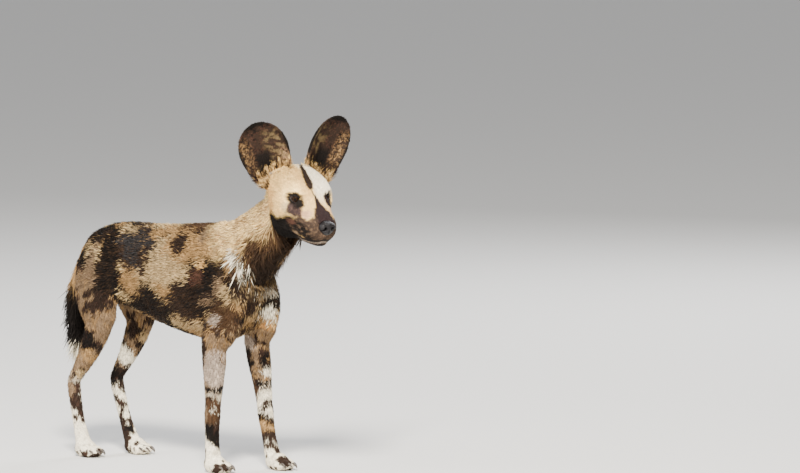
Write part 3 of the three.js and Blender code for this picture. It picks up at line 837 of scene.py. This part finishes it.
def tail_marks(places):
    """Tan at the root, black in the middle and white at the end."""
    height = on_body(places)[:, 2]
    wander = 40 * (grain(on_body(places), 18, 16) - 0.5)
    colours = np.tile(TAN, (len(places), 1)).astype(float)
    colours = laid(colours, ease(-height - wander, -455, -425), BLACK)
    return laid(colours, ease(-height - wander, -318, -296), WHITE)


def marks(places, area):
    """The colour of the coat at every place. area names the node that each place lies on."""
    colours = np.zeros((len(places), 3))
    makers = {"head": head_marks, "neck": neck_marks, "torso": body_marks, "tail": tail_marks,
              "ear_left": lambda spots: ear_marks(spots, "left"),
              "ear_right": lambda spots: ear_marks(spots, "right")}
    for index, node in enumerate(FLESH):
        here = area == index
        if here.any():
            colours[here] = makers.get(node, leg_marks)(places[here])
    # The neck's colours run a little way over the head and the shoulders
    spots, tops = on_body(places), on_head(places)
    around = neck_marks(places)
    patched_neck = patched(around, spots, [WHITE_SHOULDER])
    onto = (area == FLESH.index("torso")) * ease(spots[:, 0] * 0.78 + spots[:, 2] * 0.63, 340, 390)
    near = (area == FLESH.index("head")) * ease(-tops[:, 0] - 0.3 * tops[:, 2], 62, 88)
    share = np.clip(onto + near + (area == FLESH.index("neck")), 0, 1)
    return colours + share[:, None] * (patched_neck - colours)


# The ears' own directions, read from the solids

EAR_ROOT = (-54, 59, 28)
EAR_AHEAD = 0.94
EAR_SPLAY = {"left": 0.19, "right": 0.34}


def ear_axes(side):
    """An ear's root, its direction to the tip, the way its opening faces and its length."""
    sign = SIDES[side]
    places = corners(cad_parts["ear_" + side].data)
    root = np.array(head(EAR_ROOT[0], sign * EAR_ROOT[1], EAR_ROOT[2]))
    away = np.linalg.norm(places - root, axis=1)
    tip = places[away.argmax()]
    up = (tip - root) / np.linalg.norm(tip - root)
    opening = np.array(AHEAD * EAR_AHEAD + ASIDE * sign * EAR_SPLAY[side])
    opening -= up * (opening @ up)
    opening /= np.linalg.norm(opening)
    return root, up, opening, away.max()


EARS = {side: ear_axes(side) for side in SIDES}
EAR_HALF_WIDTH = 0.062
EAR_BOWL = 0.028


def ear_place(places, side):
    """How far along and across the ear a place lies, and whether it is on the inside."""
    root, up, opening, long = EARS[side]
    away = places - root
    along = away @ up / long
    sideways = np.cross(up, opening)
    across = away @ sideways / EAR_HALF_WIDTH
    bowl = -EAR_BOWL * (1 - np.clip(np.abs(across), 0, 1) ** 2)
    inner = ease(away @ opening - bowl, -0.0035, 0.0005)
    return along, across, inner


# The skin

VOXEL = 0.0022
NECK_CORE = [((-30, 0, 489), 96), ((45, -2, 516), 92), ((105, -6, 560), 76), ((160, -14, 597), 67),
             ((205, -21, 628), 66), ((255, -31, 650), 64)]
NECK_NARROWER = 0.86
TAIL_CORE = [((-400, 0, 548), 15), ((-450, 0, 528), 17), ((-482, 0, 490), 18), ((-502, 0, 430), 15),
             ((-508, 0, 365), 13), ((-504, 0, 300), 11), ((-497, 0, 252), 6)]

# How deep the skin lies inside the outside of the coat, in millimetres, and how far it is relaxed
COAT_DEPTH = {"head": 2.2, "neck": 9, "torso": 6.5, "tail": 1, "ear_left": 0.5, "ear_right": 0.5,
              "foreleg_left": 3, "foreleg_right": 3, "hindleg_left": 3, "hindleg_right": 3}
RELAXING = {"head": 0.25, "neck": 1.0, "torso": 1.0, "tail": 0.6, "ear_left": 0.12,
            "ear_right": 0.12, "foreleg_left": 0.4, "foreleg_right": 0.4, "hindleg_left": 0.45,
            "hindleg_right": 0.45}
RELAX_ROUNDS = 60
SKIN_TRIANGLES = 190000

# How far the solids swell before they are joined, and the line that the neck is narrowed about
FORM_SWELL = 0.4
NECK_ASIDE = -8

# The round back of the head, with its middle in millimetres and its radii in metres
OCCIPUT, OCCIPUT_RADII = (-72, 0, -20), (0.046, 0.066, 0.074)

# The paws and the head are relaxed less and keep all their faces, down to these places
PAW_TOP, WRIST = 36, 80
HEAD_BACK, HEAD_LOW = -110, -130


def node_shapes():
    """A search tree over the solids, and for each of its faces the node it belongs to."""
    points, faces, owner = [], [], []
    for index, node in enumerate(FLESH):
        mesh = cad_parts[node].data
        start = len(points)
        points += [vertex.co.copy() for vertex in mesh.vertices]
        faces += [[start + v for v in face.vertices] for face in mesh.polygons]
        owner += [index] * len(mesh.polygons)
    return BVHTree.FromPolygons(points, faces), np.array(owner)


def areas_of(places):
    """The index in FLESH of the node nearest to each place."""
    tree, owner = NODE_SHAPES
    return owner[[tree.find_nearest(place)[2] for place in places]]


def by_area(table, area):
    return np.array([table[node] for node in FLESH], float)[area]


def softened(mesh, values, rounds):
    """Spreads a value over neighbouring corners, so that it changes gently."""
    order, other, degree = neighbours(mesh)
    for _ in range(rounds):
        values = np.bincount(order, values[other], len(values)) / degree
    return values


def skin_depth(places, area):
    """The depth of the coat, thinner towards the muzzle, the wrists and the paws."""
    depth = by_area(COAT_DEPTH, area)
    spots, tops = on_body(places), on_head(places)
    is_head = area == FLESH.index("head")
    depth = np.where(is_head, depth * (0.35 + 1.0 * ease(-tops[:, 0], -40, 60)), depth)
    is_leg = area >= FLESH.index("foreleg_left")
    return np.where(is_leg, depth * (0.3 + 0.9 * ease(spots[:, 2], 60, 320)), depth)


def make_skin():
    """One skin over the whole body, from the solids and the cores of the ruff and the tail."""
    forms = []
    for node in FLESH:
        if node in ("neck", "tail"):
            continue
        form = merged_copy(node, node + "_form")
        set_corners(form.data, corners(form.data) + facings(form.data) * FORM_SWELL * MM)
        forms.append(form)
    neck = round_tube("neck_core", [(body(*place), radius * MM) for place, radius in NECK_CORE])
    places = corners(neck.data)
    centre = body(0, NECK_ASIDE, 0).y
    places[:, 1] = centre + (places[:, 1] - centre) * NECK_NARROWER
    set_corners(neck.data, places)
    forms.append(neck)
    forms.append(round_tube("tail_core", [(body(*p), radius * MM) for p, radius in TAIL_CORE], 3))
    turn = Matrix((AHEAD, ASIDE, UP)).transposed().to_4x4()
    forms.append(add_ball("occiput", head(*OCCIPUT), OCCIPUT_RADII, turn))
    skin = joined(forms, "skin")
    remeshed(skin, VOXEL)
    mesh = skin.data
    area = areas_of(corners(mesh))
    height = on_body(corners(mesh))[:, 2]
    relaxing = by_area(RELAXING, area) * (0.25 + 0.75 * ease(height, PAW_TOP, WRIST))
    relax(mesh, softened(mesh, relaxing, 12), RELAX_ROUNDS)
    places = corners(mesh)
    depth = softened(mesh, skin_depth(places, area), 20)
    set_corners(mesh, places - facings(mesh) * depth[:, None] * MM)
    open_eyes(mesh)
    keep_largest(skin)
    thin_out(skin)
    return skin


def open_eyes(mesh):
    """Sinks the skin behind the lids into each eyeball."""
    places = corners(mesh)
    for side in SIDES:
        centre = np.array(middle("eye_" + side))
        gaze, outer, up = (np.array(axis) for axis in eye_axes(side))
        away = places - centre
        radius = np.linalg.norm(away, axis=1)
        turn = np.arctan2(away @ outer, away @ gaze)
        rise = np.arcsin(np.clip(away @ up / radius, -1, 1))
        inside = ease(-np.hypot(turn / LID_REACH, rise / SOCKET_HIGH), -1, -0.85)
        inside *= radius < EYE_ROOM
        sunk = radius + inside * (np.minimum(radius, (EYE_RADIUS - EYE_SINK) * MM) - radius)
        places = centre + away * (sunk / radius)[:, None]
    set_corners(mesh, places)


def keep_largest(obj):
    """Keeps only the largest closed surface."""
    select_only(obj)
    bpy.ops.mesh.separate(type="LOOSE")
    parts = sorted(bpy.context.selected_objects, key=lambda part: len(part.data.vertices))
    for part in parts[:-1]:
        bpy.data.objects.remove(part)
    if parts[-1] is not obj:
        raise RuntimeError("the skin's largest surface has another name")


def thin_out(skin):
    """Fewer faces on the body and legs, while the head and the paws keep their own."""
    group = skin.vertex_groups.new(name="plain")
    places = corners(skin.data)
    tops = on_head(places)
    fine = (tops[:, 0] > HEAD_BACK) & (tops[:, 2] > HEAD_LOW) | (on_body(places)[:, 2] < PAW_TOP)
    group.add(np.nonzero(~fine)[0].tolist(), 1.0, "REPLACE")
    count = sum(len(face.vertices) - 2 for face in skin.data.polygons)
    apply_modifier(skin, "DECIMATE", ratio=min(1.0, SKIN_TRIANGLES / count), vertex_group="plain",
                   vertex_group_factor=1.0, use_collapse_triangulate=True)
    skin.vertex_groups.clear()


# Eyes, lids, lips, nose and claws

# How large the eyes are, how far they look aside and tilt, and how near and how deep the skin sinks.
# EYE_ROOM is in metres, and the other lengths round the eye are in millimetres
EYE_RADIUS = 12.5
EYE_SPLAY = math.radians(32)
EYE_TILT = math.radians(17)
EYE_ROOM = 0.03
EYE_SINK = 2
CORNEA_RISE, CORNEA_EDGE = 0.09, (0.8, 0.95)
OUTER_CORNER, INNER_CORNER = math.radians(72), math.radians(84)
LID_HIGH, LID_LOW = math.radians(29), math.radians(30)
LID_REACH, SOCKET_HIGH = math.radians(92), math.radians(54)
LID_EDGE, LID_SWELL = 0.6, 1.7
LID_LINE, LID_LINE_LIFT, LID_LINE_LOWER = 0.35, 1.2, 0.03
ALMOND = 2.2


def eye_axes(side):
    """The way an eye looks, the way to its outer corner and its own up."""
    gaze = AHEAD * math.cos(EYE_SPLAY) + ASIDE * SIDES[side] * math.sin(EYE_SPLAY)
    outward = ASIDE * SIDES[side] * math.cos(EYE_SPLAY) - AHEAD * math.sin(EYE_SPLAY)
    outer = outward * math.cos(EYE_TILT) + UP * math.sin(EYE_TILT)
    up = UP * math.cos(EYE_TILT) - outward * math.sin(EYE_TILT)
    return gaze, outer, up


def make_eye(side):
    """A smooth ball with the cornea standing out a little where it looks."""
    centre = middle("eye_" + side)
    ball = add_ball("eyeball_" + side, centre, [(EYE_RADIUS - 0.1) * MM] * 3, segments=56)
    gaze = np.array(eye_axes(side)[0])
    away = corners(ball.data) - np.array(centre)
    facing = away @ gaze / np.linalg.norm(away, axis=1)
    away *= (1 + CORNEA_RISE * ease(facing, *CORNEA_EDGE))[:, None]
    set_corners(ball.data, np.array(centre) + away)
    finished(ball, eye_finish(side))
    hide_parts("eye_" + side)


def round_eye(side, turn, rise, radius):
    """A place round the eye, turned towards its outer corner and raised from where it looks."""
    gaze, outer, up = eye_axes(side)
    level = gaze * math.cos(turn) * math.cos(rise) + outer * math.sin(turn) * math.cos(rise)
    return middle("eye_" + side) + (level + up * math.sin(rise)) * radius * MM


def lid_place(side, across, rise, share, radius):
    """A place on the lids: share is 0 at the edge of the opening and 1 at the socket."""
    wide = OUTER_CORNER if across > 0 else INNER_CORNER
    tall = LID_HIGH if rise > 0 else LID_LOW
    almond = math.copysign(tall * (1 - abs(across) ** ALMOND), rise)
    turn = across * (wide + share * (LID_REACH - wide))
    return round_eye(side, turn, (1 - share) * almond + share * rise * SOCKET_HIGH, radius)


def make_lids(side, steps=64, rows=8):
    """Both lids of one eye: a ring round the ball, thick at the edge of an almond opening."""
    rings = []
    for row in range(rows + 1):
        share = row / rows
        lift = LID_EDGE + LID_SWELL * math.sin(math.pi * min(1, 0.2 + share)) - LID_EDGE * share
        rings.append((share, EYE_RADIUS + lift))
    rings += [(1, EYE_RADIUS - 1.5), (0, EYE_RADIUS - 0.6)]
    turns = [2 * math.pi * step / steps for step in range(steps)]
    points = [lid_place(side, math.cos(turn), math.sin(turn), share, radius)
              for share, radius in rings for turn in turns]
    faces = []
    for row in range(len(rings)):
        below, above = row * steps, (row + 1) % len(rings) * steps
        for step in range(steps):
            after = (step + 1) % steps
            faces.append((below + step, below + after, above + after, above + step))
    lids = mesh_object("lids_" + side, points, faces)
    in_edit_mode(lids, FACE_OUTWARD)
    apply_modifier(lids, "SUBSURF", levels=1, render_levels=1)
    finished(lids, MATERIALS["rim"])


def make_lid_line(side, steps=11):
    """The moist edge of the lower lid, a thin tube whose paler colour is partly a painted highlight.
    """
    line = []
    for step in range(steps):
        across = math.cos(math.pi * (1 + (step + 0.5) / steps))
        turn = across * (OUTER_CORNER if across > 0 else INNER_CORNER)
        rise = -LID_LOW * (1 - abs(across) ** ALMOND) - LID_LINE_LOWER
        place = round_eye(side, turn, rise, EYE_RADIUS + LID_LINE_LIFT)
        line.append((place, LID_LINE * MM))
    # Paler than the lids: partly the edge's own colour and partly a painted highlight along the
    # moist rim
    finished(round_tube("lid_line_" + side, line, 2), MATERIALS["lid_highlight"])


def mesh_object(name, points, faces):
    data = bpy.data.meshes.new(name)
    data.from_pydata([tuple(point) for point in points], [], faces)
    return placed(name, data)


NOSE_VOXEL = 0.0008
NOSE_ROUNDS = 9
NOSE_SWELL = 0.25


def make_nose():
    """The nose pad with its nostrils, made fine and round."""
    pad = merged_copy("nose", "nose_pad")
    remeshed(pad, NOSE_VOXEL)
    relax(pad.data, np.full(len(pad.data.vertices), 0.5), NOSE_ROUNDS)
    places = corners(pad.data)
    set_corners(pad.data, places + facings(pad.data) * NOSE_SWELL * MM)
    finished(pad, MATERIALS["nose"])
    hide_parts("nose")


# How far each lip is above the line of the mouth, and its radius
LIPS = {"upper_lip": (1.9, 2.1), "lower_lip": (-1.7, 1.8)}
LIP_SINK = 0.5
LIP_FADE = 0.55


def make_lips(skin):
    """A dark lip above and below the line of the mouth, half sunk in the skin."""
    tree = BVHTree.FromObject(skin, bpy.context.evaluated_depsgraph_get())
    turns = [-t for t in MOUTH_TURNS[:0:-1]] + MOUTH_TURNS
    heights = MOUTH_HEIGHTS[:0:-1] + MOUTH_HEIGHTS
    for name, (above, thick) in LIPS.items():
        rings = []
        for turn, height in zip(turns, heights):
            angle = math.radians(turn)
            way = AHEAD * math.cos(angle) + ASIDE * math.sin(angle)
            hit = tree.ray_cast(head(MOUTH_MIDDLE_AHEAD, 0, height + above), way)[0]
            fade = 1 - LIP_FADE * abs(turn) / MOUTH_TURNS[-1]
            rings.append((hit - way * LIP_SINK * MM, thick * fade * MM))
        lip = round_tube(name, rings, 3)
        finished(lip, MATERIALS["rim"])


# The toes' shares of the paw aside and ahead, the paw's length and width, and one claw's places
# and radii from the toe's tip
TOES = [(-0.36, 0.24), (-0.13, 0.38), (0.13, 0.38), (0.36, 0.24)]
PAW = (80, 56)
CLAW_REACH, CLAW_HEIGHT = 26.8, 13
PRINT_HEIGHT = 12
CLAW = [((11, 3.5), 3.3), ((16, 4), 3.2), ((21, 1.5), 2.5), ((25, -2.5), 1.5), ((27, -6.5), 0.45)]


def make_claws(leg):
    """Four curved claws of one paw, from the place of its print."""
    places = on_body(corners(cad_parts[leg].data))
    print_of_paw = places[places[:, 2] < PRINT_HEIGHT]
    middle_y = (print_of_paw[:, 1].min() + print_of_paw[:, 1].max()) / 2
    front = print_of_paw[:, 0].max()
    claws = []
    for aside, ahead in TOES:
        toe_x = front - CLAW_REACH + (ahead - TOES[1][1]) * PAW[0]
        toe_y = middle_y + aside * PAW[1]
        rings = [(body(toe_x + x, toe_y, CLAW_HEIGHT + z), radius * MM)
                 for (x, z), radius in CLAW]
        claws.append(round_tube("claw", rings, 2))
    claws = joined(claws, "claws_" + leg)
    finished(claws, MATERIALS["claw"])


def finished(obj, material):
    """Smooth faces, one material, and the body that it rides on."""
    obj.data.materials.clear()
    obj.data.materials.append(material)
    obj.data.polygons.foreach_set("use_smooth", [True] * len(obj.data.polygons))
    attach(obj, "root")


# The coat in tufts

PATCH = 0.003
# Each tuft is multiplied from ROOT_SHADE at its root to TIP_SHADE at its tip: painted shade down
# among the hairs, lighter towards the tip
ROOT_SHADE = 0.6
TIP_SHADE = 1.08
FLOOR_GAP = 0.0002
HAIR_START = (126, 0, -28)
BARE_NOSE, BARE_NOSE_REACH = (115, 0, -39), (17, 21, 20)
# How many tufts each piece of the coat has
TUFTS = {"trunk": 19500, "neck": 12200, "head": 15500, "ear": 8000, "leg": 15000, "tail": 6500}


def set_marks(mesh, colours):
    layer = mesh.attributes.new("marks", "FLOAT_COLOR", "POINT")
    full = np.concatenate([colours, np.ones((len(colours), 1))], 1)
    layer.data.foreach_set("color", full.astype(np.float32).ravel())


class Ground:
    """The skin's triangles, on which hairs are rooted."""

    def __init__(self, skin):
        mesh = skin.data
        mesh.calc_loop_triangles()
        count = len(mesh.loop_triangles)
        corner_ids, loop_ids = np.empty(count * 3, np.int32), np.empty(count * 3, np.int32)
        mesh.loop_triangles.foreach_get("vertices", corner_ids)
        mesh.loop_triangles.foreach_get("loops", loop_ids)
        self.corner_ids = corner_ids.reshape(-1, 3)
        self.places = corners(mesh)
        self.facings = facings(mesh)
        self.area = areas_of(self.places)
        spread = np.empty(len(mesh.loops) * 2, np.float32)
        mesh.uv_layers["OFBake"].data.foreach_get("uv", spread)
        self.spread = spread.reshape(-1, 2)[loop_ids].reshape(-1, 3, 2)
        a, b, c = (self.places[self.corner_ids[:, k]] for k in range(3))
        self.middles = (a + b + c) / 3
        self.sizes = np.linalg.norm(np.cross(b - a, c - a), axis=1) / 2
        self.face_area = self.area[self.corner_ids[:, 0]]

    def roots(self, count, weights, draw):
        """Random places on the skin, more of them where the weight is higher."""
        chance = self.sizes * weights
        faces = draw.choice(len(chance), count, p=chance / chance.sum())
        u, v = draw.random(count), draw.random(count)
        over = u + v > 1
        u, v = np.where(over, 1 - u, u), np.where(over, 1 - v, v)
        shares = np.stack([1 - u - v, u, v], 1)[:, :, None]
        ids = self.corner_ids[faces]
        facing = (self.facings[ids] * shares).sum(1)
        return {
            "place": (self.places[ids] * shares).sum(1),
            "facing": facing / np.linalg.norm(facing, axis=1)[:, None],
            "spread": (self.spread[faces] * shares).sum(1),
            "area": self.face_area[faces],
        }


def unit(vectors):
    return vectors / np.maximum(np.linalg.norm(vectors, axis=1), 1e-9)[:, None]


def row(*values):
    return np.array(values, float)


def hair_lie(places, facing, area):
    """The way the hair lies at each place."""
    spots, tops = on_body(places), on_head(places)
    lie = np.tile(row(-1, 0, -0.3), (len(places), 1))
    index = {node: area == k for k, node in enumerate(FLESH)}
    low = ease(-spots[:, 2], -520, -380)[:, None]
    breast = ease(spots[:, 0], 70, 115)[:, None]
    rump = ease(-spots[:, 0], 380, 440)[:, None]
    trunk = row(-1, 0, -0.15) + low * row(0, 0, -0.35)
    trunk = trunk + breast * row(0.9, 0, -1.2) + rump * row(0.5, 0, -1.0)
    lie[index["torso"]] = trunk[index["torso"]]
    throat = ease(neck_depth(spots), 0, 45)[:, None]
    nape = row(-0.84, 0.12, -0.5) + throat * row(0.35, -0.1, -0.75)
    lie[index["neck"]] = nape[index["neck"]]
    away = unit(tops - row(*HAIR_START)) + row(0, 0, 0.12)
    lie[index["head"]] = (away @ HEAD_TURN)[index["head"]]
    for leg in LEGS:
        high = ease(spots[:, 2], 330, 450)[:, None]
        paw = ease(-spots[:, 2], -46, -26)[:, None]
        down = row(-0.12, 0, -1) + high * row(-0.5, 0, 0) + paw * row(1.1, 0, 0.55)
        lie[index[leg]] = down[index[leg]]
    root_of_tail = ease(spots[:, 2], 470, 520)[:, None]
    tail = row(-0.05, 0, -1) + root_of_tail * row(-0.7, 0, 0.5)
    lie[index["tail"]] = tail[index["tail"]]
    for side in SIDES:
        here = index["ear_" + side]
        if here.any():
            _, up, opening, _ = EARS[side]
            _, across, _ = ear_place(places[here], side)
            outward = np.cross(up, opening)
            lie[here] = up + 0.8 * across[:, None] * outward
    lie -= facing * (lie * facing).sum(1)[:, None]
    return unit(lie)


def grow(name, roots, size, draw, rows=2, tangle=0.25):
    """Adds a piece of coat: one closed flat tapered tuft for each root."""
    place, facing = roots["place"], roots["facing"]
    count = len(place)
    long, wide, lift = (np.broadcast_to(value, count) for value in size)
    long = long * MM * draw.uniform(0.75, 1.25, count)
    wide = wide * MM * draw.uniform(0.8, 1.2, count)
    lift = lift * draw.uniform(0.6, 1.4, count)
    lie = hair_lie(place, facing, roots["area"])
    side = np.cross(facing, lie)
    stray = draw.normal(0, tangle, count)
    lie = unit(lie + stray[:, None] * side)
    side = np.cross(facing, lie)
    sway = draw.normal(0, 0.12, count)
    points, shades, spreads = [], [], []
    corner_shifts = [(-0.5, 0), (0.5, 0), (0, 0.34)]
    for level in range(rows + 1):
        share = level / rows
        slim = (1 - 0.16 * share - 0.84 * share ** 3)
        centre = (place + lie * (long * share)[:, None]
                  + facing * (lift * long * (1.7 * share - 0.85 * share ** 2) - 0.0006)[:, None]
                  + side * (sway * long * share ** 2)[:, None])
        shifts = corner_shifts if level < rows else [(0, 0)]
        for across, rise in shifts:
            reach = (wide * max(slim, 0.0))[:, None]
            points.append(centre + side * across * reach + facing * rise * reach)
            # Painted shade at the root of each tuft, lightening towards its tip
            shades.append(ROOT_SHADE + (TIP_SHADE - ROOT_SHADE) * min(1, 1.3 * share))
            spreads.append((0.5 + across, share))
    stacked = np.stack(points, 1)
    stacked[..., 2] = np.maximum(stacked[..., 2], FLOOR_GAP)
    size_of_tuft = stacked.shape[1]
    faces = [(0, 2, 1)]
    for level in range(rows - 1):
        a, b = 3 * level, 3 * level + 3
        for k in range(3):
            after = (k + 1) % 3
            faces += [(a + k, a + after, b + after), (a + k, b + after, b + k)]
    last, tip = 3 * (rows - 1), 3 * rows
    faces += [(last + k, last + (k + 1) % 3, tip) for k in range(3)]
    faces = np.array(faces)
    ids = (faces[None] + (np.arange(count) * size_of_tuft)[:, None, None]).reshape(-1)
    mesh = bpy.data.meshes.new(name)
    mesh.vertices.add(count * size_of_tuft)
    mesh.vertices.foreach_set("co", stacked.astype(np.float32).ravel())
    mesh.loops.add(len(ids))
    mesh.loops.foreach_set("vertex_index", ids.astype(np.int32))
    mesh.polygons.add(len(ids) // 3)
    mesh.polygons.foreach_set("loop_start", np.arange(0, len(ids), 3, dtype=np.int32))
    mesh.update(calc_edges=True)
    local = np.array(spreads)[faces.reshape(-1)]
    spread = roots["spread"][:, None] + PATCH * (local[None] - 0.5)
    layer = mesh.uv_layers.new(name="OFBake")
    layer.data.foreach_set("uv", spread.astype(np.float32).ravel())
    tone = draw.uniform(0.78, 1.2, count)
    colours = roots["colour"] * tone[:, None]
    shaded = colours[:, None] * np.array(shades)[None, :, None]
    set_marks(mesh, np.clip(shaded.reshape(-1, 3), 0, 1))
    finished(placed(name, mesh), MATERIALS["coat"])


def coloured(roots, draw, stray=3.0):
    """Gives each root the colour of a place near it, so that the markings have ragged edges."""
    near = roots["place"] + draw.normal(0, stray * MM, roots["place"].shape)
    roots["colour"] = marks(near, roots["area"])
    return roots


# The coat's pieces, one maker for each area of the skin


def node_weight(ground, nodes):
    return np.isin(ground.face_area, [FLESH.index(node) for node in nodes]).astype(float)


def make_trunk_coat(ground):
    draw = np.random.default_rng(21)
    for piece in (1, 2):
        roots = ground.roots(TUFTS["trunk"], node_weight(ground, ["torso"]), draw)
        roots = coloured(roots, draw, stray=5)
        spots = on_body(roots["place"])
        long = 15 + 5 * ease(spots[:, 2], 520, 590) - 3 * ease(-spots[:, 2], -380, -320)
        grow(f"trunk_coat_{piece}", roots, (long, 2.3, 0.3), draw)


def make_neck_coat(ground):
    draw = np.random.default_rng(22)
    roots = coloured(ground.roots(TUFTS["neck"], node_weight(ground, ["neck"]), draw), draw)
    low = ease(neck_depth(on_body(roots["place"])), 0, 50)
    long = 22 + 30 * low
    grow("neck_coat", roots, (long, 2.4 + 0.8 * low, 0.3 + 0.05 * low), draw, rows=3, tangle=0.3)


def eye_distance(places):
    return np.minimum(*(np.linalg.norm(places - np.array(middle("eye_" + side)), axis=1)
                        for side in SIDES)) / MM


def make_head_coat(ground):
    draw = np.random.default_rng(23)
    tops = on_head(ground.middles)
    bare = eye_outline(ground.middles) < 0.5
    bare |= np.linalg.norm((tops - row(*BARE_NOSE)) / row(*BARE_NOSE_REACH), axis=1) < 1
    weight = node_weight(ground, ["head"]) * ~bare * (1 + ease(tops[:, 0], 20, 80))
    for piece in (1, 2):
        roots = coloured(ground.roots(TUFTS["head"], weight, draw), draw, stray=1.2)
        back = -on_head(roots["place"])[:, 0]
        long = 3.4 + 4 * ease(back, -80, 0) + 9 * ease(back, 20, 80)
        long = np.minimum(long, 1.6 + 0.2 * np.maximum(eye_distance(roots["place"]) - 16, 0))
        grow(f"head_coat_{piece}", roots, (long, 0.75 + 0.07 * long, 0.26), draw, tangle=0.2)


def make_ear_coats(ground):
    for number, side in enumerate(SIDES):
        draw = np.random.default_rng(24 + number)
        node = "ear_" + side
        roots = ground.roots(TUFTS["ear"], node_weight(ground, [node]), draw)
        roots = coloured(roots, draw, stray=1.2)
        along, _, inner = ear_place(roots["place"], side)
        fringe = ease(0.32 - along, 0, 0.3) * inner
        long = 3.6 + 10 * fringe
        grow(node + "_coat", roots, (long, 0.95 + 0.03 * long, 0.3 + 0.25 * fringe), draw)


def make_leg_coats(ground):
    for number, kind in enumerate(("foreleg", "hindleg")):
        draw = np.random.default_rng(27 + number)
        weight = node_weight(ground, [kind + "_left", kind + "_right"])
        roots = coloured(ground.roots(TUFTS["leg"], weight, draw), draw, stray=2)
        height = on_body(roots["place"])[:, 2]
        long = 4.5 + 4 * ease(height, 40, 160) + 5 * ease(height, 200, 380)
        grow(kind + "_coat", roots, (long, 1.2 + 0.06 * long, 0.26), draw, tangle=0.2)


def make_tail_coat(ground):
    draw = np.random.default_rng(29)
    roots = ground.roots(TUFTS["tail"], node_weight(ground, ["tail"]), draw)
    roots = coloured(roots, draw, stray=4)
    height = on_body(roots["place"])[:, 2]
    brush = ease(-height, -500, -420)
    long = 14 + 50 * brush - 16 * ease(-height, -300, -250)
    grow("tail_coat", roots, (long, 2.0 + 0.9 * brush, 0.3 + 0.05 * brush), draw, rows=3,
         tangle=0.22)


# Assembly

NODE_SHAPES = node_shapes()
MATERIALS = {"skin": skin_finish(), "coat": coat_finish(), "nose": nose_finish(),
             "rim": rim_finish(), "lid_highlight": lid_highlight_finish(), "claw": claw_finish()}
set_camera()
set_studio()
skin = make_skin()
skin.data.uv_layers.new(name="OFBake")
in_edit_mode(skin, UNWRAP)
ground = Ground(skin)
set_marks(skin.data, marks(ground.places, ground.area))
finished(skin, MATERIALS["skin"])
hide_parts(*FLESH)
make_trunk_coat(ground)
make_neck_coat(ground)
make_head_coat(ground)
make_ear_coats(ground)
make_leg_coats(ground)
make_tail_coat(ground)
for side in SIDES:
    make_eye(side)
    make_lids(side)
    make_lid_line(side)
make_nose()
make_lips(skin)
for leg in LEGS:
    make_claws(leg)
